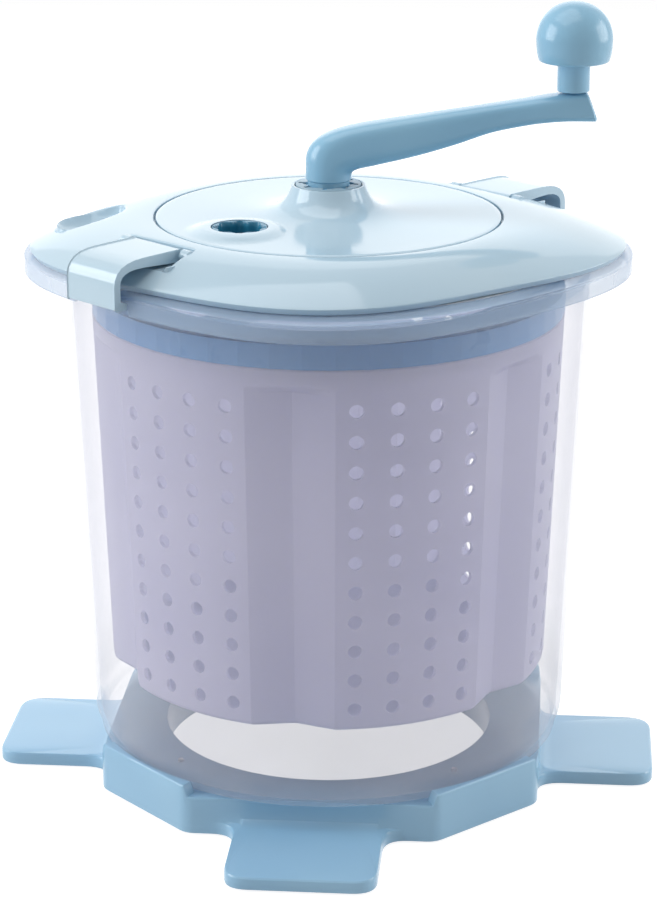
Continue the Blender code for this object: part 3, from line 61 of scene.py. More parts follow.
FOOT_HALF = 0.039
CORNER_CUT = 0.005
FILLET_CUT = 0.015
FOOT_CUT = 0.013
SKY_BLUE = ((0.345, 0.580, 0.765, 1), (0.295, 0.525, 0.725, 1))
MERGE = 1e-6
CREASE = radians(32)


class Wire:
    """One socket in a material's nodes. Sums and products of wires add their Math nodes."""

    def __init__(self, tree, socket=None):
        self.tree = tree
        self.socket = socket

    def node(self, kind, settings=(), sockets=(), out=0):
        """Adds a node: its settings first, then the values or wires of its sockets."""
        made = self.tree.nodes.new(kind)
        for key, value in dict(settings).items():
            setattr(made, key, value)
        for key, value in dict(sockets).items():
            if isinstance(value, Wire):
                self.tree.links.new(value.socket, made.inputs[key])
            else:
                made.inputs[key].default_value = value
        return Wire(self.tree, made.outputs[out]) if made.outputs else None

    def maths(self, operation, other):
        return self.node("ShaderNodeMath", {"operation": operation}, {0: self, 1: other})

    def __add__(self, other):
        return self.maths("ADD", other)

    def __mul__(self, other):
        return self.maths("MULTIPLY", other)

    def __pow__(self, other):
        return self.maths("POWER", other)

    def between(self, low, high):
        """0 below low and 1 above high, with a smooth rise between."""
        sockets = {"Value": self, "From Min": low, "From Max": high}
        return self.node("ShaderNodeMapRange", {"interpolation_type": "SMOOTHSTEP"}, sockets)

    def tint(self, first, second):
        """The first colour where this wire is 0 and the second where it is 1."""
        return self.node("ShaderNodeMix", {"data_type": "RGBA"}, {0: self, 6: first, 7: second}, 2)

    def noise(self, scale, detail=2.0):
        """Cloudy noise on the object's own coordinates, with this many patches to a metre."""
        return self.node("ShaderNodeTexNoise", {}, {"Vector": self, "Scale": scale, "Detail": detail})

    def bump(self, strength, distance):
        """A normal bent by this wire as a height, which a distance in metres scales."""
        sockets = {"Strength": strength, "Distance": distance, "Height": self}
        return self.node("ShaderNodeBump", {}, sockets)


def blank(name):
    """A new material with no nodes but its coordinates, which come back as a wire."""
    material = bpy.data.materials.new(name)
    material.use_nodes = True
    material.node_tree.nodes.clear()
    return material, Wire(material.node_tree).node("ShaderNodeTexCoord", out="Object")


def surface(place, **sockets):
    """The Principled shader of a material and its output. An underscore stands for a space."""
    named = {key.replace("_", " "): value for key, value in sockets.items()}
    shader = place.node("ShaderNodeBsdfPrincipled", {}, named)
    place.node("ShaderNodeOutputMaterial", {}, {"Surface": shader})


def moulded(name, colour, deep, rough=0.2, ripple=0.1):
    """Glossy moulded plastic. The colour drifts over a hand's width, flow lines and handling vary
    the gloss, and a faint ripple from the polished mould bends the reflections."""
    material, place = blank(name)
    drift = place.noise(9.0).between(0.3, 0.7)
    smear = place.noise(55.0, 4.0)
    height = place.noise(620.0, 3.0) * 0.15 + place.noise(70.0, 1.0)
    surface(
        place,
        Base_Color=drift.tint(deep, colour),
        Roughness=smear * 0.12 + (rough - 0.05),
        Normal=height.bump(ripple, 0.0006),
        IOR=1.5,
    )
    return material


def eased(corners, cuts, steps):
    """A closed line through corners, each rounded off by a parabola from one cut before it to one
    cut after it. A cut reaches at most 0.48 of the way to the next corner. Corners have the shape
    (..., number, dimensions)."""
    cuts = np.asarray(cuts, float)[..., None]

    def stop(neighbour):
        way = neighbour - corners
        length = np.linalg.norm(way, axis=-1, keepdims=True)
        return corners + way / np.maximum(length, MERGE) * np.minimum(cuts, 0.48 * length)

    start = stop(np.roll(corners, 1, axis=-2))[..., None, :]
    end = stop(np.roll(corners, -1, axis=-2))[..., None, :]
    t = np.linspace(0, 1, steps + 1)[:, None]
    curve = (1 - t) ** 2 * start + 2 * t * (1 - t) * corners[..., None, :] + t**2 * end
    return curve.reshape(*corners.shape[:-2], -1, corners.shape[-1])


def threaded(line, gap):
    """A closed flat line without its double points, split so that no gap is longer than this."""
    line = line[np.linalg.norm(np.roll(line, -1, axis=0) - line, axis=1) > MERGE]
    way = np.roll(line, -1, axis=0) - line
    parts = np.ceil(np.linalg.norm(way, axis=1) / gap).astype(int)
    step = np.arange(parts.sum()) - np.repeat(np.cumsum(parts) - parts, parts)
    share = step / np.repeat(parts, parts)
    return np.repeat(line, parts, axis=0) + share[:, None] * np.repeat(way, parts, axis=0)


def rise(value, low, high):
    """0 below low and 1 above high, along 3t squared less 2t cubed between."""
    t = np.clip((value - low) / (high - low), 0, 1)
    return t * t * (3 - 2 * t)


def full_turn(steps):
    """Even angles round a full turn."""
    return np.linspace(0, 2 * pi, steps, endpoint=False)


def turned(x, y, turn):
    """Flat places turned about the origin."""
    return x * np.cos(turn) - y * np.sin(turn), x * np.sin(turn) + y * np.cos(turn)


def spun(profile, angles):
    """Points round the Z axis: at each angle, the radii and heights of a profile. Its shape is
    (points, 2), or (angles, points, 2) where it changes with the angle."""
    profile = np.broadcast_to(profile, (len(angles),) + profile.shape[-2:])
    x = profile[..., 0] * np.cos(angles)[:, None]
    y = profile[..., 0] * np.sin(angles)[:, None]
    return np.stack([x, y, profile[..., 1]], axis=-1)


def squares(rows, columns, round_rows, round_columns):
    """Each square of four neighbours in a grid, as four numbers. A round side joins its end."""
    here = np.arange(rows * columns).reshape(rows, columns)
    below = np.roll(here, -1, axis=0)
    faces = np.stack([here, below, np.roll(below, -1, axis=1), np.roll(here, -1, axis=1)], axis=-1)
    return faces[: rows - (not round_rows), : columns - (not round_columns)].reshape(-1, 4)


def linked(name, data):
    """A new object in the scene, made of this data."""
    item = bpy.data.objects.new(name, data)
    bpy.context.scene.collection.objects.link(item)
    return item


def piece(name, *grids):
    """An object from grids of points, each given with whether its rows and its columns close on
    themselves. Points that fall together are merged, and all faces are turned outwards."""
    points = np.concatenate([grid.reshape(-1, 3) for grid, _, _ in grids])
    faces = []
    first = 0
    for grid, round_rows, round_columns in grids:
        faces.append(first + squares(*grid.shape[:2], round_rows, round_columns))
        first += grid.shape[0] * grid.shape[1]
    mesh = bpy.data.meshes.new(name)
    mesh.from_pydata(points.tolist(), [], np.concatenate(faces).tolist())
    shape = bmesh.new()
    shape.from_mesh(mesh)
    bmesh.ops.remove_doubles(shape, verts=shape.verts, dist=MERGE)
    bmesh.ops.recalc_face_normals(shape, faces=shape.faces)
    if shape.calc_volume(signed=True) < 0:
        bmesh.ops.reverse_faces(shape, faces=shape.faces)
    shape.to_mesh(mesh)
    shape.free()
    return linked(name, mesh)


def finish(item, material, crease=CREASE):
    """Gives a piece its material, and smooth shading between its sharp edges."""
    item.data.materials.clear()
    item.data.materials.append(material)
    item.data.shade_smooth()
    item.data.set_sharp_from_angle(angle=crease)


def plinth_radius(angles):
    """How far the plinth's octagon, with its corners eased, reaches at each angle."""
    facet = [(FACET_OUT, -FACET_HALF), (FACET_OUT, FACET_HALF)]
    ring = threaded(eased(quarters(np.array(facet)), CORNER_CUT, 8), 0.001)
    turns = np.arctan2(ring[:, 1], ring[:, 0])
    return np.interp(angles, turns, np.hypot(*ring.T), period=2 * pi)


def quarters(points):
    """A quarter's points, repeated round the four quarters."""
    ring = turned(*points.T, np.arange(4)[:, None] * pi / 2)
    return np.stack(ring, axis=-1).reshape(-1, 2)


def column(profile, angles):
    """The corners of a profile, given as radius and height. Both may change with the angle."""
    corners = [np.stack(np.broadcast_arrays(r, z, angles)[:2], axis=-1) for r, z in profile]
    return np.stack(corners, axis=1)


def eased_column(profile, angles, steps):
    """The same with eased corners, each given as radius, height and cut."""
    line = column([corner[:2] for corner in profile], angles)
    return eased(line, [corner[2] for corner in profile], steps)


def base_grid():
    """At each point of the outline with the feet, a closed profile runs up the bore, over the deck
    and the raised corners beyond the tub, down the side, out along the foot and back underneath."""
    side = np.array([(FACET_OUT, FACET_HALF), (FACET_OUT, FOOT_HALF), (FOOT_REACH, FOOT_HALF)])
    foot = np.concatenate([side * (1, -1), side[::-1]])
    cuts = np.tile([CORNER_CUT, FILLET_CUT, FOOT_CUT, FOOT_CUT, FILLET_CUT, CORNER_CUT], 4)
    outline = threaded(eased(quarters(foot), cuts, 8), 0.003)
    angles = np.arctan2(outline[:, 1], outline[:, 0])
    wall = plinth_radius(angles)
    edge = np.maximum(np.hypot(*outline.T), wall)
    seat = np.minimum(PLINTH_SEAT, wall)
    from_corner = np.abs(angles % (pi / 2) - pi / 4)
    lip = PLINTH_DECK + PLINTH_LIP * (1 - rise(from_corner, LIP_HALF, LIP_HALF + LIP_END))
    corners = [
        (PLINTH_BORE, PLINTH_LOW, 0.0006),
        (PLINTH_BORE, PLINTH_DECK, 0.0008),
        (seat, PLINTH_DECK, 0.0004),
        (seat, lip, 0.0008),
        (wall, lip, 0.0016),
        (wall, FOOT_TOP, 0.0080),
        (edge, FOOT_TOP, 0.0022),
        (edge, PLINTH_LOW, 0.0010),
        (FACET_OUT - PLINTH_WALL, PLINTH_LOW, 0.0005),
        (FACET_OUT - PLINTH_WALL, PLINTH_UNDER, 0.0010),
        (PLINTH_BORE + PLINTH_WALL, PLINTH_UNDER, 0.0010),
        (PLINTH_BORE + PLINTH_WALL, PLINTH_LOW, 0.0005),
    ]
    return spun(eased_column(corners, angles, 3), angles + BASE_TURN)


sky_plastic = moulded("sky_plastic", *SKY_BLUE)
base = piece("base", (base_grid(), True, True))
finish(base, sky_plastic)
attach(base, "tub_unit")
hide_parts("base_ring")


# Rubber pads pressed into pockets under the feet, and the pan-head screws that hold the tub down.
# The pads are cut from ribbed grey rubber sheet, and the screws are zinc-plated steel.
RUBBER_GREY = ((0.20, 0.22, 0.24, 1), (0.30, 0.32, 0.34, 1))
ZINC = ((0.62, 0.63, 0.65, 1), (0.50, 0.51, 0.53, 1))


def paint(material, *nodes):
    """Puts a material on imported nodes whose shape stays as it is."""
    for name in nodes:
        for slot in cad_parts[name].material_slots:
            slot.material = material


def rubber(name, colour, dust):
    """Soft rubber: dull, with a fine sandy skin and paler where dust clings."""
    material, place = blank(name)
    grain = place.noise(1400.0)
    patches = place.noise(90.0, 3.0).between(0.45, 0.75)
    surface(
        place,
        Base_Color=patches.tint(colour, dust),
        Roughness=grain * 0.15 + 0.65,
        Normal=grain.bump(0.4, 0.0003),
    )
    return material


def plated(name, colour, dull):
    """Plated steel: turning marks run round it as fine rings, and the plating dulls in patches."""
    material, place = blank(name)
    rings = place.node(
        "ShaderNodeTexWave",
        {"wave_type": "RINGS", "rings_direction": "Z"},
        {"Vector": place, "Scale": 900.0, "Distortion": 2.0, "Detail": 2.0},
    )
    patches = place.noise(260.0, 3.0)
    surface(
        place,
        Base_Color=patches.tint(dull, colour),
        Roughness=patches * 0.2 + 0.2,
        Metallic=1.0,
        Normal=rings.bump(0.2, 0.0001),
    )
    return material


pad_rubber = rubber("pad_rubber", *RUBBER_GREY)
zinc_steel = plated("zinc_steel", *ZINC)
paint(pad_rubber, "foot_pad_1", "foot_pad_2", "foot_pad_3", "foot_pad_4")
paint(zinc_steel, "base_screw_1", "base_screw_2", "base_screw_3", "base_screw_4", "pivot_pin")


# Tub: one clear moulding that flares a little towards a flat oval rim with a skirt. The rim is cut
# back and the skirt left out where the two latches grip. A post inside carries the basket's pin.
TUB_FLOOR_LOW = 0.0220
TUB_FLOOR_TOP = 0.0250
TUB_WALL = 0.0026
SEAT_RADIUS = 0.1265
TUB_SHOULDER = (0.0285, 0.0335)
TUB_LOW_RADIUS = 0.1293
TUB_HIGH_RADIUS = 0.1396
TUB_TOP = 0.2890
RIM_LOW = 0.2865
SKIRT_LOW = 0.2795
SKIRT_WALL = 0.0024
RIM_REACH = (0.1506, 0.0032, 0.0076)
MOUTH = 0.128
POST = ((0.016, 0.025, 0.004), (0.012, 0.056, 0.0015), (0.0043, 0.056, 0.0004), (0.0043, 0.044, 0.0004))
LATCH_TURNS = {"left": radians(-135), "right": radians(45)}
CATCH_EDGE = 0.1429
CATCH_ENDS = (-0.0381, 0.0016)
CATCH_RISE = 0.0004
CATCH_LEDGE = 0.2862
CLEAR_TINT = (0.93, 0.92, 0.96, 1)
CLEAR_EDGE = (0.66, 0.68, 0.78, 1)
# Painted shade and reflection: the clear rim is tinted the blue of the shaded lid and cover seen
# through it.
RIM_SHADE_BLUE = (0.43, 0.57, 0.75, 1)


def oval(sizes, angles):
    """An oval's reach at each angle, drawn in on its diagonals: a mean and two waves about it."""
    mean, wide, square = sizes
    return mean + wide * np.cos(2 * angles) + square * np.cos(4 * angles)


def catch_share(angles):
    """1 where a latch grips the rim and 0 elsewhere, with a short rise at each end."""
    share = np.zeros_like(angles)
    low, high = CATCH_ENDS
    for turn in LATCH_TURNS.values():
        away = (angles - turn + pi) % (2 * pi) - pi
        across = CATCH_EDGE * np.sin(away)
        inside = rise(across, low, low + CATCH_RISE) * (1 - rise(across, high - CATCH_RISE, high))
        share = share + inside * (np.abs(away) < 1)
    return share


def rim_angles():
    """Angles round the tub: even ones, and close ones at the ends of each latch's place."""
    even = full_turn(420)
    ends = [
        turn + np.arcsin(end / CATCH_EDGE) + np.linspace(-0.004, 0.004, 13)
        for turn in LATCH_TURNS.values()
        for end in CATCH_ENDS
    ]
    return np.union1d(even, np.concatenate(ends) % (2 * pi))


def tub_grid():
    """A profile spun round the axis: from the middle of the underside out, up the wall, round the
    rim and its skirt, down the inside, and up the post to the hole for its pin."""
    angles = rim_angles()
    catch = catch_share(angles)
    rim = oval(RIM_REACH, angles)
    turns = np.array(list(LATCH_TURNS.values()))[:, None]
    straight = np.min(CATCH_EDGE / np.maximum(np.cos(angles - turns), 0.5), axis=0)
    rim = rim + (np.minimum(rim, straight) - rim) * catch
    hem = SKIRT_LOW + (CATCH_LEDGE - SKIRT_LOW) * catch
    under = RIM_LOW + (CATCH_LEDGE - RIM_LOW) * catch
    corners = [
        (0.0, TUB_FLOOR_LOW, 0.0),
        (SEAT_RADIUS, TUB_FLOOR_LOW, 0.0035),
        (SEAT_RADIUS, TUB_SHOULDER[0], 0.002),
        (TUB_LOW_RADIUS, TUB_SHOULDER[1], 0.0025),
        (TUB_HIGH_RADIUS, RIM_LOW, 0.0022),
        (rim - SKIRT_WALL, under, 0.0008),
        (rim - SKIRT_WALL, hem, 0.0007),
        (rim, hem, 0.0008),
        (rim, TUB_TOP, 0.0014),
        (MOUTH, TUB_TOP, 0.0008),
        (MOUTH, RIM_LOW, 0.0008),
        (TUB_HIGH_RADIUS - TUB_WALL, RIM_LOW, 0.002),
        (TUB_LOW_RADIUS - TUB_WALL, TUB_SHOULDER[1], 0.002),
        (SEAT_RADIUS - TUB_WALL, TUB_SHOULDER[0], 0.002),
        (SEAT_RADIUS - TUB_WALL, TUB_FLOOR_TOP, 0.0025),
        *POST,
        (0.0, POST[3][1], 0.0),
    ]
    return spun(eased_column(corners, angles, 4), angles)


def clear_plastic(name, tint, edge, rim_shade):
    """Clear polystyrene: a light veil, stronger in the rim and where the wall is seen edge on, and
    a faint waviness from the mould. From the skirt's hem up it is tinted blue: painted shade and
    painted reflection of the shaded blue lid and cover that show through the clear rim."""
    material, place = blank(name)
    cloud = place.noise(12.0).between(0.3, 0.7)
    facing = place.node("ShaderNodeLayerWeight", {}, {"Blend": 0.5}, "Facing")
    rim = place.node("ShaderNodeSeparateXYZ", {}, {0: place}, 2).between(SKIRT_LOW - 0.004, SKIRT_LOW)
    surface(
        place,
        # Painted shade: from the skirt's hem up, the base colour turns to the rim's blue, which stands
        # for the shaded lid and cover seen through it.
        Base_Color=rim.tint(facing.tint(tint, edge), rim_shade),
        Roughness=cloud * 0.05 + 0.06,
        Alpha=facing**4.0 * 0.55 + (cloud * 0.02 + 0.09) + rim * 0.25,
        Normal=place.noise(26.0, 1.0).bump(0.12, 0.002),
        IOR=1.5,
    )
    return material


clear_tub = clear_plastic("clear_tub", CLEAR_TINT, CLEAR_EDGE, RIM_SHADE_BLUE)
tub = piece("clear_tub", (tub_grid(), True, False))
finish(tub, clear_tub)
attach(tub, "tub_unit")
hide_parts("tub")


# Spin basket: lilac-white polypropylene, moulded with six pierced panels between fluted grooves.
# It turns on the tub's pin by a pressed-in bush, and its plain top band holds the cover.
BASKET_TURN = radians(-9)
BASKET_WALL = 0.0022
BASKET_CELLS = 0.066
BASKET_TOP = 0.25815
BASKET_LOW_RADIUS = 0.1191
BASKET_TOP_RADIUS = 0.1261
CELL_TURN = radians(9.7)
CELL_HEIGHT = 0.01625
CELL_ROWS = 11
CELL_COLUMNS = 4
PANELS = 6
SECTOR = 2 * pi / PANELS
PANEL_HALF = CELL_COLUMNS * CELL_TURN / 2
HOLE_RADIUS = 0.00375
HOLE_SIDE = 5
GROOVE_DEPTH = 0.0075
GROOVE_POWER = 1.3
PANEL_CREASE = radians(12)
GROOVE_STEPS = 14
FADE_LEVELS = (0.2466, 0.2484)
BAND_LOW = 0.25015
BAND_MIDDLE = 0.2540
BRIM_EDGE = 0.0007
BASKET_UNDER = 0.0615
BASKET_FLOOR = 0.0639
FLOOR_EASE = 0.003
HUB = (0.013, 0.0595, 0.073)
HUB_EASE = 0.002
BUSH_HOLE = (0.008, 0.0708)
LILAC = (0.700, 0.685, 0.815, 1)
LILAC_DEEP = (0.635, 0.625, 0.770, 1)
LILAC_PALE = (0.850, 0.850, 0.930, 1)
MILK = ((0.80, 0.81, 0.82, 1), (0.74, 0.75, 0.77, 1))


def basket_wall(angles, heights, inset):
    """Points of the wall, which leans out from its foot to its top. Between panels it is sunk in a
    groove, deepest at its middle, and the grooves run out below the plain band."""
    share = (heights - BASKET_CELLS) / (BASKET_TOP - BASKET_CELLS)
    radius = BASKET_LOW_RADIUS + (BASKET_TOP_RADIUS - BASKET_LOW_RADIUS) * share - inset
    away = np.abs((angles - BASKET_TURN + SECTOR / 2) % SECTOR - SECTOR / 2)
    beyond = np.clip((away - PANEL_HALF) / (SECTOR / 2 - PANEL_HALF), 0, 1)
    fade = 1 - rise(heights, BASKET_CELLS + CELL_ROWS * CELL_HEIGHT, BAND_LOW)
    radius = radius - GROOVE_DEPTH * (1 - (1 - beyond) ** GROOVE_POWER) * fade
    return np.stack([radius * np.cos(angles), radius * np.sin(angles), heights + 0 * radius], axis=-1)


def hole_cells():
    """Every cell of every panel. Four lines run round a cell: its square edge and its round hole
    on the outside, and the same two on the inside, so that the hole's rim closes the wall."""
    step = np.arange(HOLE_SIDE) * 2 / HOLE_SIDE - 1
    one = np.ones(HOLE_SIDE)
    across = np.concatenate([step, one, -step, -one])
    up = np.concatenate([-one, step, one, -step])
    turn = np.arange(4 * HOLE_SIDE) * pi / 2 / HOLE_SIDE - 3 * pi / 4
    columns = (np.arange(CELL_COLUMNS) - (CELL_COLUMNS - 1) / 2) * CELL_TURN
    middle = (BASKET_TURN + SECTOR * np.arange(PANELS)[:, None] + columns).ravel()
    height = BASKET_CELLS + (np.arange(CELL_ROWS) + 0.5) * CELL_HEIGHT
    middle, height = [part.ravel()[:, None] for part in np.meshgrid(middle, height)]
    square = (middle + across * CELL_TURN / 2, height + up * CELL_HEIGHT / 2)
    mean = (BASKET_LOW_RADIUS + BASKET_TOP_RADIUS) / 2
    hole = (middle + HOLE_RADIUS / mean * np.cos(turn), height + HOLE_RADIUS * np.sin(turn))
    lines = ((square, 0.0), (hole, 0.0), (hole, BASKET_WALL), (square, BASKET_WALL))
    return np.stack([basket_wall(*line, inset) for line, inset in lines], axis=1)


def basket_grids():
    """The pierced cells, the grooves between panels, and three rings that close the wall: the
    band over its top, the underside as far as the bush, and the floor with the hub."""
    grids = [(cell.swapaxes(0, 1), True, False) for cell in hole_cells()]
    levels = BASKET_CELLS + np.arange(CELL_ROWS * HOLE_SIDE + 1) * CELL_HEIGHT / HOLE_SIDE
    sectors = SECTOR * np.arange(PANELS)
    groove = BASKET_TURN + np.linspace(PANEL_HALF, SECTOR - PANEL_HALF, GROOVE_STEPS + 1)
    for sector in sectors:
        for inset in (0.0, BASKET_WALL):
            across, up = np.meshgrid(groove + sector, levels, indexing="ij")
            grids.append((basket_wall(across, up, inset), False, False))
    cells = BASKET_TURN - PANEL_HALF + np.arange(CELL_COLUMNS * HOLE_SIDE) * CELL_TURN / HOLE_SIDE
    turns = (np.concatenate([cells, groove[:-1]]) + sectors[:, None]).ravel()
    up = np.array([levels[-1], *FADE_LEVELS, BAND_LOW, BAND_MIDDLE, BASKET_TOP - BRIM_EDGE, BASKET_TOP])
    inset = np.zeros(len(up))
    inset[-1] = BRIM_EDGE
    band_up = np.concatenate([up, up[::-1]])
    band_in = np.concatenate([inset, (BASKET_WALL - inset)[::-1]])
    grids.append((basket_wall(turns[:, None], band_up, band_in), True, False))
    swing = np.linspace(0, pi / 2, 6)
    under = [(HUB[0], BASKET_UNDER), HUB[:2], (BUSH_HOLE[0], HUB[1]), BUSH_HOLE, (0, BUSH_HOLE[1])]
    floor = [
        (HUB[0] + HUB_EASE, BASKET_FLOOR),
        (HUB[0], BASKET_FLOOR + HUB_EASE),
        (HUB[0], HUB[2]),
        (0, HUB[2]),
    ]
    for level, inset, ease, hub in (
        (BASKET_UNDER, 0.0, BASKET_CELLS - BASKET_UNDER, under),
        (BASKET_FLOOR, BASKET_WALL, FLOOR_EASE, floor),
    ):
        down = BASKET_CELLS - (BASKET_CELLS - level) * np.sin(swing)
        foot = basket_wall(turns[:, None], down, inset + ease * (1 - np.cos(swing)))
        grids.append((np.concatenate([foot, spun(np.array(hub), turns)], axis=1), True, False))
    return grids


def basket_plastic(name, colour, deep, pale):
    """Satin polypropylene, thin enough to glow. Its inner skin is paler where the daylight from
    behind comes through, and flow marks drift over it."""
    material, place = blank(name)
    drift = place.noise(11.0).between(0.3, 0.7)
    grain = place.noise(480.0, 3.0)
    sockets = {
        "Base Color": drift.tint(deep, colour),
        "Roughness": grain * 0.08 + 0.28,
        "Normal": grain.bump(0.1, 0.0004),
        "IOR": 1.49,
    }
    plain = place.node("ShaderNodeBsdfPrincipled", {}, sockets)
    glow = place.node("ShaderNodeBsdfTranslucent", {}, {"Color": pale})
    both = place.node("ShaderNodeMixShader", {}, {0: 0.5, 1: plain, 2: glow})
    place.node("ShaderNodeOutputMaterial", {}, {"Surface": both})
    return material


lilac_plastic = basket_plastic("lilac_plastic", LILAC, LILAC_DEEP, LILAC_PALE)
basket = piece("spin_basket", *basket_grids())
finish(basket, lilac_plastic, PANEL_CREASE)
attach(basket, "basket_unit")
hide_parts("basket")
white_plastic = moulded("white_plastic", *MILK, 0.35)
paint(white_plastic, "basket_bush")


# Basket cover: a blue ring that drops into the basket's band, with three spokes to the hexagonal
# socket that the lid's shaft turns.
COVER_BLUE = ((0.115, 0.290, 0.560, 1), (0.080, 0.240, 0.510, 1))
cover_plastic = moulded("cover_plastic", *COVER_BLUE, 0.28)
paint(cover_plastic, "basket_cover")


# Lid: a glossy blue dome with a round recess for the gear cover. It is drawn out to two tips, has
# a pocket with hinge ears for each latch, and a scoop at its left tip to pour water through.
LID_LOW = 0.2893
LID_TOP = 0.3077
LID_RECESS = 0.3038
LID_UNDER = 0.3013
LID_FLANK = 0.2926
LID_REACH = (0.1385, 0.010, 0.0085)
LID_SWELL = 0.005
LID_UNDERCUT = 0.0022
LID_COVE = (0.0095, 0.0050)
LID_EASE = 0.0006
RECESS_RADIUS = 0.0926
RECESS_EASE = 0.0007
DOME_START = 0.094
DOME_STEPS = 24
RING_HOLE = 0.01805
SPIGOT = (0.1220, 0.1245, 0.1256)
SPIGOT_LOW = 0.2833
SPIGOT_BEAD = 0.0013
HINGE_OUT = 0.105
HINGE_UP = 0.3039
EAR_RADIUS = 0.0034
EAR_EASE = 0.0005
EAR_ENDS = ((0.0011, 0.0076), (-0.0441, -0.0376))
POCKET_FLOOR = 0.2997
POCKET_BACK = 0.1009
POCKET_OUT = 0.1500
POCKET_ENDS = (-0.0433, 0.0068)
POCKET_CUT = 0.0022
BLOCK_LOW = 0.2972
BLOCK_WALL = 0.0025
BLOCK_OUT = 0.1232
BLOCK_CUT = 0.002
SCOOP_PLACE = (-0.127, 0.012)
SCOOP_TURN = radians(50)
SCOOP_HALF = (0.0235, 0.0155)
SCOOP_FLOOR = 0.2952
SCOOP_DISH = ((0.3, 0.0), (0.62, 0.0006), (0.84, 0.0026), (0.95, 0.0056))
SCOOP_LIP = ((0.99, -0.0006), (1.03, 0.0), (1.12, 0.0008), (1.12, 0.012))
DRAIN_RADIUS = 0.0033
DRAIN_PLACE = 0.016
OFFSET_PLACE = (-0.04596, -0.038565)
OFFSET_HOLE = 0.01495
LID_BLUE = ((0.510, 0.665, 0.765, 1), (0.470, 0.635, 0.750, 1))
SILICONE = ((0.60, 0.64, 0.68, 1), (0.68, 0.71, 0.74, 1))


def lid_edge(angles):
    """The lid's reach: an oval with a swell towards both latches."""
    swell = ((1 + np.cos(2 * (angles - LATCH_TURNS["right"]))) / 2) ** 2
    return oval(LID_REACH, angles) + LID_SWELL * swell


def dome_height(share):
    """The dome falls from its brow to its edge with the square of the share of the way."""
    return LID_FLANK + (LID_TOP - LID_FLANK) * (1 - share**2)


def lid_height(x, y):
    """The dome's height at a place."""
    share = (np.hypot(x, y) - DOME_START) / (lid_edge(np.arctan2(y, x)) - DOME_START)
    return dome_height(np.clip(share, 0, 1))


def lid_grid():
    """A closed profile spun round the axis: over the recess and the dome, down the flank, and back
    under the rim, round the spigot and along the underside."""
    angles = full_turn(300)
    edge = lid_edge(angles)
    share = np.linspace(0, 1, DOME_STEPS)
    dome_out = DOME_START + share * (edge[:, None] - DOME_START)
    dome = np.stack([dome_out, np.broadcast_to(dome_height(share), dome_out.shape)], axis=-1)
    inner = [
        (RING_HOLE, LID_UNDER),
        (RING_HOLE, LID_RECESS),
        (RECESS_RADIUS, LID_RECESS),
        (RECESS_RADIUS, LID_TOP),
    ]
    outer = [
        (edge - LID_UNDERCUT, LID_LOW),
        (SPIGOT[1], LID_LOW),
        (SPIGOT[1], SPIGOT_LOW + SPIGOT_BEAD),
        (SPIGOT[2], SPIGOT_LOW + SPIGOT_BEAD),
        (SPIGOT[2], SPIGOT_LOW),
        (SPIGOT[0], SPIGOT_LOW),
        (SPIGOT[0], LID_UNDER - LID_COVE[1]),
        (SPIGOT[0] - LID_COVE[0], LID_UNDER),
    ]
    line = np.concatenate([column(inner, angles), dome, column(outer, angles)], axis=1)
    cuts = np.zeros(line.shape[1])
    cuts[2:4] = RECESS_EASE
    cuts[3 + DOME_STEPS : 5 + DOME_STEPS] = LID_EASE
    return spun(eased(line, cuts, 3), angles)


def grown(outline, grow):
    """A flat outline moved along its outward normals, by one distance or by one for each point."""
    way = np.roll(outline, -1, axis=0) - np.roll(outline, 1, axis=0)
    normal = np.column_stack([way[:, 1], -way[:, 0]])
    normal = normal / np.maximum(np.linalg.norm(normal, axis=1, keepdims=True), MERGE)
    return outline + normal * np.asarray(grow)[..., None]


def lifted(outline, height):
    """A flat outline at one height, or at one for each point."""
    return np.column_stack([outline, np.broadcast_to(height, len(outline))])


def plan_rings(outline, rows):
    """A closed form from a flat outline. Each row is a height and how far the outline has grown
    there. Both ends shrink to the outline's middle."""
    rings = [lifted(grown(outline, grow), height) for height, grow in rows]
    middle = np.tile(outline.mean(axis=0), (len(outline), 1))
    ends = [lifted(middle, ring[:, 2]) for ring in (rings[0], rings[-1])]
    return np.stack([ends[0], *rings, ends[1]], axis=1)


def latch_frame(out, across, up, turn):
    """Puts points given as out, across and up in a latch's own frame into the object's."""
    return np.stack(np.broadcast_arrays(*turned(out, across, turn), up), axis=-1)


def latch_box(back, out, ends, cut, steps):
    """A flat box with eased corners, as out and across in a latch's frame."""
    corners = [(back, ends[0]), (out, ends[0]), (out, ends[1]), (back, ends[1])]
    return eased(np.array(corners), cut, steps)


def latch_plan(outline, turn):
    """Puts a flat outline from a latch's frame into the object's."""
    return np.column_stack(turned(*outline.T, turn))


def pocket_grid(turn):
    """The space cut from the lid for a latch: a box with eased corners, whose upper edge flares
    along the dome to leave a rounded lip."""
    box = latch_box(POCKET_BACK, POCKET_OUT, POCKET_ENDS, POCKET_CUT, 6)
    plan = latch_plan(threaded(box, 0.002), turn)
    lip = np.maximum(lid_height(*plan.T) - 0.0005, POCKET_FLOOR + 0.0012)
    rows = [
        (POCKET_FLOOR, -0.0009),
        (POCKET_FLOOR + 0.0003, -0.0003),
        (POCKET_FLOOR + 0.0009, 0.0),
        (lip, 0.0),
        (lip + 0.0004, 0.0003),
        (lip + 0.0009, 0.0012),
        (LID_TOP + 0.004, 0.0013),
    ]
    return plan_rings(plan, rows)


def powered(wave, power):
    """A wave's size raised to a power, with its sign kept."""
    return np.sign(wave) * np.abs(wave) ** power


def scoop_outline():
    """A boat's plan: a cosine along and a sine across raised to 1.3, turned and put in place."""
    a = full_turn(64)
    across = SCOOP_HALF[1] * powered(np.sin(a), 1.3)
    return np.column_stack(turned(SCOOP_HALF[0] * np.cos(a), across, SCOOP_TURN)) + SCOOP_PLACE


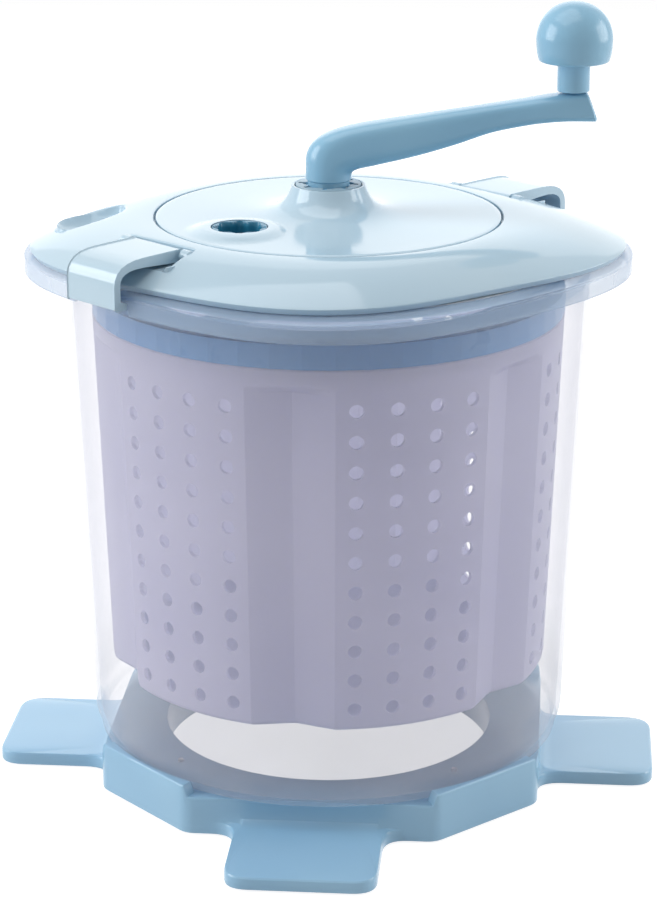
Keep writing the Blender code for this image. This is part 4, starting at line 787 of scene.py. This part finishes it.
def scoop_grid():
    """The space cut for the scoop: a dished floor, leaning sides and a flared lip. Each ring is a
    share of the outline, at a height above the floor or above the dome."""
    outline = scoop_outline()
    middle = outline.mean(axis=0)
    lip = lid_height(*outline.T)
    rows = [(0.0, SCOOP_FLOOR)] + [(share, SCOOP_FLOOR + up) for share, up in SCOOP_DISH]
    rows += [(share, lip + up) for share, up in SCOOP_LIP]
    rows.append((0.0, rows[-1][1].mean()))
    rings = [lifted(middle + (outline - middle) * share, height) for share, height in rows]
    return np.stack(rings, axis=1)


def drum(radius, low, high, place, sides=48):
    """A closed cylinder upright at a place."""
    line = np.array([(0.0, low), (radius, low), (radius, high), (0.0, high)])
    return spun(line, full_turn(sides)) + (*place, 0.0)


def ear(ends, turn):
    """A closed cylinder with eased ends that lies across a latch's frame, along its pin."""
    low, high = ends
    slim = EAR_RADIUS - EAR_EASE
    radius = np.array([0.0, slim, EAR_RADIUS, EAR_RADIUS, slim, 0.0])
    across = np.array([low, low, low + EAR_EASE, high - EAR_EASE, high, high])
    a = full_turn(34)[:, None]
    out = HINGE_OUT + radius * np.cos(a)
    return latch_frame(out, across, HINGE_UP + radius * np.sin(a), turn)


def combine(item, operation, *grids):
    """Joins closed forms to a piece, or cuts them from it, and keeps the result as its mesh."""
    for grid in grids:
        tool = piece("tool", (grid, True, False))
        change = item.modifiers.new("tool", "BOOLEAN")
        change.operation = operation
        change.solver = "EXACT"
        change.object = tool
        view = bpy.context.evaluated_depsgraph_get()
        mesh = bpy.data.meshes.new_from_object(item.evaluated_get(view))
        item.modifiers.clear()
        item.data = mesh
        bpy.data.objects.remove(tool)


lid = piece("lid_dome", (lid_grid(), True, True))
blocks = []
pockets = []
ears = []
block_ends = (POCKET_ENDS[0] - BLOCK_WALL, POCKET_ENDS[1] + BLOCK_WALL)
for turn in LATCH_TURNS.values():
    box = latch_box(POCKET_BACK - BLOCK_WALL, BLOCK_OUT, block_ends, BLOCK_CUT, 4)
    block = [(BLOCK_LOW, 0.0), (LID_UNDER + 0.0010, 0.0)]
    blocks.append(plan_rings(latch_plan(box, turn), block))
    pockets.append(pocket_grid(turn))
    ears += [ear(ends, turn) for ends in EAR_ENDS]
block = [(SCOOP_FLOOR - BLOCK_WALL, 0.0), (LID_UNDER + 0.0005, 0.0)]
blocks.append(plan_rings(scoop_outline(), block))
drain_place = np.add(SCOOP_PLACE, turned(DRAIN_PLACE, 0.0, SCOOP_TURN))
drain = drum(DRAIN_RADIUS, 0.290, 0.306, drain_place, 28)
offset_hole = drum(OFFSET_HOLE, 0.296, 0.306, OFFSET_PLACE)
combine(lid, "UNION", *blocks)
combine(lid, "DIFFERENCE", *pockets, scoop_grid(), drain, offset_hole)
combine(lid, "UNION", *ears)
lid_plastic = moulded("lid_plastic", *LID_BLUE, 0.09, 0.04)
finish(lid, lid_plastic)
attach(lid, "lid_unit")
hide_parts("lid")
silicone = rubber("silicone", *SILICONE)
paint(silicone, "lid_seal")
paint(zinc_steel, "latch_pin_left", "latch_pin_right", "case_screw_1", "case_screw_2", "case_screw_3")
paint(white_plastic, "gear_case", "shaft_bush")


# Gear cover: the round disc that closes the lid's recess, glossy blue. It rises to a boss round the
# drive ring and swells round the offset socket, and is held by the gear case's screws from below.
DISC_RADIUS = 0.0915
BOSS_RADIUS = 0.01925
BOSS_BORE = 0.01795
BOSS_TOP = 0.3240
MOUND_FOOT = 0.02705
MOUND_CREST = 0.0170
MOUND_RISE = 0.0026
DISC_LOW = 0.3041
DISC_EASE = 0.0003
BOSS_LOW = 0.3190
BOSS_EASE = 0.0004
DISC_HOLLOW = ((0.0890, 0.3053), (0.0310, 0.3053), (0.0205, 0.3120))


def disc_grid():
    """A closed profile spun round the axis: over the boss, along the disc to its eased edge, and
    back underneath. The boss flares into the disc, by 1 - x over 1 plus x / 0.066 to the power
    1.2, where x is the share of the way out. The mound lies round the offset socket."""
    angles = full_turn(240)
    share = np.linspace(0, 1, 60)
    radius = BOSS_RADIUS + (DISC_RADIUS - 0.0008 - BOSS_RADIUS) * share**1.6
    radius = np.broadcast_to(radius, (len(angles), len(share)))
    x = radius * np.cos(angles)[:, None] - OFFSET_PLACE[0]
    y = radius * np.sin(angles)[:, None] - OFFSET_PLACE[1]
    mound = MOUND_RISE * (1 - rise(np.hypot(x, y), MOUND_CREST, MOUND_FOOT + 0.003))
    x = np.clip((radius - BOSS_RADIUS) / (DISC_RADIUS - BOSS_RADIUS), 0, 1)
    boss = LID_TOP + (BOSS_TOP - LID_TOP) * (1 - x) / (1 + (x / 0.066) ** 1.2)
    top = np.stack([radius, np.maximum(boss, LID_TOP + mound)], axis=-1)
    bore = [
        (BOSS_BORE, BOSS_LOW),
        (BOSS_BORE, BOSS_TOP - DISC_EASE),
        (BOSS_BORE + BOSS_EASE, BOSS_TOP),
    ]
    under = [
        (DISC_RADIUS - 0.0002, LID_TOP - DISC_EASE),
        (DISC_RADIUS, LID_TOP - 0.0010),
        (DISC_RADIUS, DISC_LOW),
        (DISC_HOLLOW[0][0], DISC_LOW),
        *DISC_HOLLOW,
    ]
    return spun(np.concatenate([column(bore, angles), top, column(under, angles)], axis=1), angles)


disc = piece("gear_disc", (disc_grid(), True, True))
combine(disc, "DIFFERENCE", drum(OFFSET_HOLE, 0.300, 0.315, OFFSET_PLACE, 72))
finish(disc, lid_plastic)
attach(disc, "lid_unit")
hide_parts("gear_cover")


# Drive ring: the grey nylon gear under the disc stands up through the boss as a notched ring, and
# the crank's plug drops into its splined socket. A hexagonal shaft below turns the basket's cover.
RING_TOP = 0.3243
RING_RADIUS = 0.01745
SPLINE_RADIUS = 0.0121
SPLINE_WAVE = 0.00085
LOBES = 8
SOCKET_GAP = 0.0003
SOCKET_FLOOR = 0.3057
GEAR_LOW = 0.2895
GEAR_HIGH = 0.2980
GEAR_TURN = radians(-140)
GEAR_MODULE = 0.003
TOOTH_SINK = 0.00045
TOOTH_HALF = 0.00315
TOOTH_STEEP = 1.8
HEX_HOLE = 0.0075
HEX_TOP = 0.2986
NOTCHES = 8
NOTCH_TURN = radians(-98)
NOTCH_REACH = 0.0145
NOTCH_SIDE = (0.0011, 0.0014)
NOTCH_WALL = 0.0156
NOTCH_DEPTH = 0.0045
NYLON = ((0.34, 0.47, 0.55, 1), (0.27, 0.40, 0.49, 1))
DEEP_BLUE = ((0.030, 0.235, 0.370, 1), (0.020, 0.190, 0.320, 1))


def spline_radius(angles, grow=0.0):
    """Shallow lobes on a circle, along a cosine."""
    return SPLINE_RADIUS + grow + SPLINE_WAVE * np.cos(LOBES * angles)


def gear_radius(angles, teeth, first):
    """A gear's outline: between root and tip along a cosine that is steepened to flat tops."""
    wave = np.clip(TOOTH_STEEP * np.cos(teeth * (angles - first)), -1, 1)
    return GEAR_MODULE * teeth / 2 - TOOTH_SINK + TOOTH_HALF * wave


def drive_ring_grid():
    """A profile spun round the axis: from the socket's floor up its lobes, over the notched top,
    down the ring, round the gear's teeth and up the hexagonal hole for the shaft."""
    angles = full_turn(720)
    lobes = spline_radius(angles, SOCKET_GAP)
    away = (angles - NOTCH_TURN + pi / NOTCHES) % (2 * pi / NOTCHES) - pi / NOTCHES
    notch = 1 - rise(np.abs(away) * NOTCH_REACH, *NOTCH_SIDE)
    inner = lobes + (NOTCH_WALL - lobes) * notch
    step = np.minimum(RING_TOP - NOTCH_DEPTH * notch, RING_TOP - 0.0006)
    teeth = gear_radius(angles, 24, GEAR_TURN + pi / 24)
    hole = HEX_HOLE * np.cos(pi / 6) / np.cos((angles + pi / 6) % (pi / 3) - pi / 6)
    profile = [
        (0.0, SOCKET_FLOOR),
        (lobes, SOCKET_FLOOR),
        (lobes, step),
        (inner, step + 0.0001),
        (inner + 0.0003, RING_TOP),
        (RING_RADIUS - 0.0007, RING_TOP),
        (RING_RADIUS - 0.0002, RING_TOP - 0.0002),
        (RING_RADIUS, RING_TOP - 0.0008),
        (RING_RADIUS, GEAR_HIGH),
        (teeth, GEAR_HIGH),
        (teeth, GEAR_LOW),
        (hole, GEAR_LOW),
        (hole, HEX_TOP),
        (0.0, HEX_TOP),
    ]
    return spun(column(profile, angles), angles)


grey_nylon = moulded("grey_nylon", *NYLON, 0.38)
drive_ring = piece("drive_ring", (drive_ring_grid(), True, False))
finish(drive_ring, grey_nylon)
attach(drive_ring, "drive_unit")
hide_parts("centre_gear")
deep_plastic = moulded("deep_plastic", *DEEP_BLUE, 0.3)
paint(deep_plastic, "drive_shaft")
paint(zinc_steel, "shaft_screw")


# Offset socket: the smaller gear, deep blue, whose splined tube opens in the mound. The crank plugs
# in here to turn the basket slowly and with more force.
TUBE_TOP = 0.3100
TUBE_RADIUS = 0.01445
TUBE_FLOOR = 0.2923
JOURNAL = 0.009
JOURNAL_LOW = 0.2853
LOBE_FLARE = 0.00025


def offset_socket_grid():
    """A profile spun round the socket's own axis: up its lobes, over the tube's top, down to the
    teeth, and round the journal that turns in the gear case."""
    angles = full_turn(512)
    lobes = spline_radius(angles, SOCKET_GAP)
    deep = lobes + LOBE_FLARE * (1 + np.cos(LOBES * angles))
    teeth = gear_radius(angles, 16, GEAR_TURN + pi)
    profile = [
        (0.0, TUBE_FLOOR),
        (lobes, TUBE_FLOOR),
        (lobes, TUBE_TOP - 0.0030),
        (deep, TUBE_TOP - 0.0006),
        (deep + 0.0003, TUBE_TOP),
        (TUBE_RADIUS - 0.0002, TUBE_TOP),
        (TUBE_RADIUS, TUBE_TOP - 0.0005),
        (TUBE_RADIUS, GEAR_HIGH),
        (teeth, GEAR_HIGH),
        (teeth, GEAR_LOW),
        (JOURNAL, GEAR_LOW),
        (JOURNAL, JOURNAL_LOW),
        (0.0, JOURNAL_LOW),
    ]
    return spun(column(profile, angles), angles) + (*OFFSET_PLACE, 0.0)


offset_socket = piece("offset_socket", (offset_socket_grid(), True, False))
finish(offset_socket, deep_plastic)
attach(offset_socket, "offset_unit")
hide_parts("offset_gear")


# Crank arm: one blue moulding. Its round hub turns in a tight elbow into a deep arm that thins
# towards the knob, and a splined plug below the hub drops into either socket.
HUB_LOW = 0.3263
HUB_RADIUS = 0.0121
HUB_EASE_UP = 0.0008
HUB_FOOT_SHARE = 0.93
PLUG_LOW = 0.3083
PLUG_EASE = 0.0012
PLUG_NECK = 0.0010
ELBOW_OUTER = ((-0.0121, 0.3360), (-0.0121, 0.3490), (0.0, 0.3536), (0.0228, 0.3573))
ELBOW_INNER = ((0.0121, 0.3285), (0.0121, 0.3322), (0.0160, 0.3330), (0.0228, 0.3343))
ARM_TOP_OUT = (0.0228, 0.060, 0.100, 0.122, 0.131, 0.1338)
ARM_TOP_UP = (0.3573, 0.3630, 0.3690, 0.3725, 0.3733, 0.3733)
ARM_UNDER_OUT = (0.0228, 0.048, 0.067, 0.086, 0.0986, 0.111, 0.122, 0.1397)
ARM_UNDER_UP = (0.3343, 0.3402, 0.3458, 0.3522, 0.3549, 0.3569, 0.3578, 0.3578)
ARM_HALF_PLACES = (0.0, 0.3, 0.65, 0.85, 1.0)
ARM_HALVES = (0.0108, 0.0096, 0.0086, 0.0094, 0.0088)
ARM_TIP = ((0.94, 0.0008), (0.85, 0.0012), (0.5, 0.0013), (0.0, 0.0013))
HUB_ROWS = 3
ELBOW_ROWS = 16
ARM_ROWS = 60
CRANK_BLUE = ((0.285, 0.530, 0.705, 1), (0.240, 0.480, 0.670, 1))


def flowing(places, knots, values):
    """A smooth line through the values at the knots: cubics that take the line's slope, as its
    neighbours give it, at each knot."""
    knots = np.array(knots)
    values = np.array(values)
    slopes = np.gradient(values, knots)
    i = np.clip(np.searchsorted(knots, places) - 1, 0, len(knots) - 2)
    gap = knots[i + 1] - knots[i]
    t = (places - knots[i]) / gap
    start = (1 + 2 * t) * (1 - t) ** 2 * values[i] + t * (1 - t) ** 2 * gap * slopes[i]
    end = t * t * (3 - 2 * t) * values[i + 1] + t * t * (t - 1) * gap * slopes[i + 1]
    return start + end


def bend(corners, rows):
    """A cubic Bezier curve on four corners."""
    t = np.linspace(0, 1, rows)[:, None]
    weights = ((1 - t) ** 3, 3 * t * (1 - t) ** 2, 3 * t * t * (1 - t), t**3)
    return sum(weight * corner for weight, corner in zip(weights, np.array(corners)))


def crank_line(elbow, arm_out, arm_up):
    """One side line of the crank: up the hub, round the elbow, and out along the arm."""
    up = np.linspace(HUB_LOW, elbow[0][1], HUB_ROWS + 1)[:-1]
    hub = np.column_stack([np.full(HUB_ROWS, elbow[0][0]), up])
    out = np.linspace(arm_out[0], arm_out[-1], ARM_ROWS + 1)[1:]
    arm = np.column_stack([out, flowing(out, arm_out, arm_up)])
    return np.concatenate([hub, bend(elbow, ELBOW_ROWS), arm])


def crank_grid():
    """Sections along the crank, each between the same points of its outer and its inner line. They
    are circles at the hub and tighten to rounded rectangles along the arm: cosine and sine raised
    to 2 over a power of 2 to 3.4."""
    outer = crank_line(ELBOW_OUTER, ARM_TOP_OUT, ARM_TOP_UP)
    inner = crank_line(ELBOW_INNER, ARM_UNDER_OUT, ARM_UNDER_UP)
    middle = (outer + inner) / 2
    half = (outer - inner) / 2
    elbow = rise(np.linspace(0, 1, ELBOW_ROWS), 0, 1)
    swing = np.concatenate([np.zeros(HUB_ROWS), elbow, np.ones(ARM_ROWS)])
    along = np.linspace(0, 1, ARM_ROWS + 1)[1:]
    along = np.concatenate([np.zeros(HUB_ROWS + ELBOW_ROWS), along])
    wide = HUB_RADIUS + (flowing(along, ARM_HALF_PLACES, ARM_HALVES) - HUB_RADIUS) * swing
    power = (2 / (2 + 1.4 * swing))[:, None]
    a = full_turn(48)
    side = wide[:, None] * powered(np.cos(a), power)
    up = powered(np.sin(a), power)
    out = middle[:, :1] + up * half[:, :1]
    rings = np.stack([out, side, middle[:, 1:] + up * half[:, 1:]], axis=-1)
    low = rings[:1] * [HUB_FOOT_SHARE, HUB_FOOT_SHARE, 1.0]
    rings[0, :, 2] += HUB_EASE_UP
    end = rings[-1:]
    heart = end.mean(axis=1, keepdims=True)
    away = np.array([half[-1, 1], 0.0, -half[-1, 0]]) / np.hypot(*half[-1])
    tips = [heart + (end - heart) * share + away * by for share, by in ARM_TIP]
    pole = np.broadcast_to(low.mean(axis=1, keepdims=True), low.shape)
    return np.concatenate([pole, low, rings, *tips])


def plug_grid():
    """The splined plug: its lobes, with a bevelled end."""
    angles = full_turn(256)
    lobes = spline_radius(angles)
    neck = HUB_RADIUS - PLUG_NECK
    profile = [
        (0.0, PLUG_LOW),
        (lobes - PLUG_EASE, PLUG_LOW),
        (lobes, PLUG_LOW + PLUG_EASE),
        (lobes, RING_TOP - PLUG_EASE),
        (neck, RING_TOP - 0.0006),
        (neck, HUB_LOW + 0.0020),
        (0.0, HUB_LOW + 0.0020),
    ]
    return spun(column(profile, angles), angles)


crank_plastic = moulded("crank_plastic", *CRANK_BLUE)
crank = piece("crank_arm_form", (crank_grid(), False, True))
combine(crank, "UNION", plug_grid())
finish(crank, crank_plastic)
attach(crank, "crank_unit")
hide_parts("crank_arm")
paint(zinc_steel, "knob_pin")


# Knob: a hollow blue mushroom that turns on the arm's steel pin, with a round palm and a collar.
KNOB_PLACE = (0.1278, 0.0, 0.0)
KNOB_LOW = 0.3736
KNOB_CAP = 0.3893
KNOB_TOP = 0.4203
KNOB_RADIUS = 0.020
KNOB_CROWN = 0.0115
KNOB_FLAT = 0.0184
KNOB_BULGE = (0.0196, 0.0045)
KNOB_NECK = 0.0085
KNOB_BORE = 0.0033
KNOB_BORE_TOP = 0.4004
KNOB_CUTS = (0, 0.0003, 0.0003, 0.0006, 0.0012, 0.0012, 0.003)


def knob_grid():
    """A profile spun round the knob's axis: the bore for the pin, the neck, the flat underside of
    the cap, its eased lower edge and a round crown."""
    angles = full_turn(96)
    swing = np.linspace(0, pi / 2, 16)
    crown_low = KNOB_CAP + KNOB_CROWN
    crown_up = crown_low + (KNOB_TOP - crown_low) * np.sin(swing)
    crown = np.column_stack([KNOB_RADIUS * np.cos(swing) ** 0.92, crown_up])
    crown[-1] = (0.0, KNOB_TOP)
    lower = np.array([
        (0.0, KNOB_BORE_TOP),
        (KNOB_BORE, KNOB_BORE_TOP),
        (KNOB_BORE, KNOB_LOW),
        (KNOB_NECK, KNOB_LOW),
        (KNOB_NECK, KNOB_CAP),
        (KNOB_FLAT, KNOB_CAP),
        (KNOB_BULGE[0], KNOB_CAP + KNOB_BULGE[1]),
    ])
    cuts = np.concatenate([KNOB_CUTS, np.zeros(len(crown))])
    return spun(eased(np.concatenate([lower, crown]), cuts, 4), angles) + KNOB_PLACE


knob = piece("palm_knob", (knob_grid(), True, False))
finish(knob, crank_plastic)
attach(knob, "knob_unit")
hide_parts("crank_knob")


# Latches: two blue hooks on steel pins between the lid's ears. Each strap bends down over the tub's
# rim and snaps under it with a bead.
LATCH_ENDS = (-0.0365, 0.0)
LATCH_OUT = 0.0445
LATCH_THICK = 0.0028
LATCH_HOOK = 0.0070
LATCH_BARREL = 0.0029
LATCH_LOW = -0.0208
LATCH_STRAP = 0.0026
LATCH_CUTS = (0.0190, 0.0009, 0.0008, 0.0003, 0.0006, 0.0165)
LATCH_EDGES = ((1, -0.0006), (0.992, -0.0003), (0.967, 0.0))


def latch_outline():
    """The hook's side view from its pin outwards: barrel, strap, bend, leg and bead."""
    a = np.linspace(radians(292), radians(85), 15)
    barrel = LATCH_BARREL * np.column_stack([np.cos(a), np.sin(a)])
    inner = LATCH_OUT - LATCH_THICK
    tip = LATCH_OUT - LATCH_HOOK
    hook = np.array([
        (LATCH_OUT, LATCH_STRAP),
        (LATCH_OUT, LATCH_LOW),
        (tip, LATCH_LOW),
        (tip, LATCH_LOW + 0.0020),
        (inner, LATCH_LOW + 0.0035),
        (inner, LATCH_STRAP - LATCH_THICK),
    ])
    cuts = np.concatenate([np.zeros(len(barrel)), LATCH_CUTS])
    return eased(np.concatenate([barrel, hook]), cuts, 6)


def latch_grid(turn):
    """The side view drawn out across the latch, shrunk a little at both ends to ease the edges."""
    line = latch_outline()
    line = line[np.linalg.norm(line - np.roll(line, 1, axis=0), axis=1) > MERGE]
    low, high = LATCH_ENDS
    middle = (low + high) / 2
    half = (high - low) / 2
    ends = [(-share, grow) for share, grow in LATCH_EDGES]
    rows = []
    for share, grow in [*ends, (0, 0.0), *LATCH_EDGES[::-1]]:
        out, up = grown(line, grow).T
        rows.append(latch_frame(HINGE_OUT + out, middle + half * share, HINGE_UP + up, turn))
    return np.stack(rows)


def capped(name, grid):
    """A piece whose grid is open at its first and last rows, which each get one flat face."""
    item = piece(name, (grid, False, True))
    shape = bmesh.new()
    shape.from_mesh(item.data)
    open_edges = [edge for edge in shape.edges if edge.is_boundary]
    bmesh.ops.edgeloop_fill(shape, edges=open_edges)
    bmesh.ops.recalc_face_normals(shape, faces=shape.faces)
    shape.to_mesh(item.data)
    shape.free()
    return item


for side, turn in LATCH_TURNS.items():
    latch = capped(f"{side}_latch_hook", latch_grid(turn))
    finish(latch, lid_plastic)
    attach(latch, f"latch_{side}_unit")
    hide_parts(f"latch_{side}")


# Studio: a pale floor and a white sweep, which only the camera and mirrored or clear rays see at
# full strength. Softboxes stand overhead, behind and on both sides, and the camera has the
# photograph's height and distance.
FLOOR_HALF = 4.0
FLOOR_WHITE = (0.8, 0.8, 0.8, 1)
FLOOR_SHOWN = (0.35, 0.35, 0.35, 1)
WHITE = (1, 1, 1, 1)
FLOOR_GLOW = 0.88
SWEEP = (0.26, 0.74)


def shown_rays(place):
    """1 for the camera's rays and those it sees mirrored or through clear plastic, else 0."""
    camera, glossy, clear = [
        place.node("ShaderNodeLightPath", out=f"Is {kind} Ray")
        for kind in ("Camera", "Glossy", "Transmission")
    ]
    return (camera + glossy + clear).maths("MINIMUM", 1.0)


def floor_material():
    """Matt white. To the camera it also shows part of the white sweep, so that it keeps a soft
    shadow and otherwise meets the background."""
    material, place = blank("studio_floor")
    bounce = place.node("ShaderNodeBsdfDiffuse", {}, {"Color": FLOOR_WHITE})
    soft = place.node("ShaderNodeBsdfDiffuse", {}, {"Color": FLOOR_SHOWN})
    light = place.node("ShaderNodeEmission", {}, {"Color": WHITE, "Strength": FLOOR_GLOW})
    both = place.node("ShaderNodeAddShader", {}, {0: soft, 1: light})
    mixed = place.node("ShaderNodeMixShader", {}, {0: shown_rays(place), 1: bounce, 2: both})
    place.node("ShaderNodeOutputMaterial", {}, {"Surface": mixed})
    return material


def studio_lamp(name, place, aim, size, power, mirrored=True):
    """A square softbox at a place, turned to its aim. It isn't seen, but may be mirrored."""
    data = bpy.data.lights.new(name, "AREA")
    data.shape = "SQUARE"
    data.size = size
    data.energy = power
    lamp = linked(name, data)
    lamp.location = place
    lamp.visible_camera = False
    lamp.visible_glossy = mirrored
    way = Vector(aim) - Vector(place)
    lamp.rotation_euler = way.to_track_quat("-Z", "Y").to_euler()


corner = np.array([-FLOOR_HALF, FLOOR_HALF])
across, along = np.meshgrid(corner, corner, indexing="ij")
floor = piece("studio_floor", (np.stack([across, along, 0 * along], axis=-1), False, False))
finish(floor, floor_material())

world = bpy.data.worlds.new("studio_sweep")
bpy.context.scene.world = world
world.use_nodes = True
world.node_tree.nodes.clear()
sky = Wire(world.node_tree)
strength = shown_rays(sky) * SWEEP[1] + SWEEP[0]
backdrop = sky.node("ShaderNodeBackground", {}, {"Color": WHITE, "Strength": strength})
sky.node("ShaderNodeOutputWorld", {}, {"Surface": backdrop})

studio_lamp("lamp_overhead", (-0.3, -0.1, 1.7), (0, 0, 0.2), 1.4, 11)
studio_lamp("lamp_sweep", (0.1, 2.2, 1.05), (0, 0, 0.3), 2.2, 9)
studio_lamp("lamp_behind", (0.2, 1.8, 0.45), (0, 0, 0.2), 1.5, 15, False)
studio_lamp("lamp_left", (-1.5, -0.15, 0.8), (0, 0, 0.2), 1.0, 15)
studio_lamp("lamp_right", (1.5, 0.1, 0.7), (0, 0, 0.2), 1.0, 12)

lens = bpy.data.cameras.new("photo_camera")
lens.lens = 113.5
lens.sensor_width = 36.0
camera = linked("photo_camera", lens)
camera.location = (0.0, -1.4666, 0.6556)
camera.rotation_euler = (radians(71.9), 0.0, 0.0)
bpy.context.scene.camera = camera
bpy.context.scene.view_settings.view_transform = "Standard"
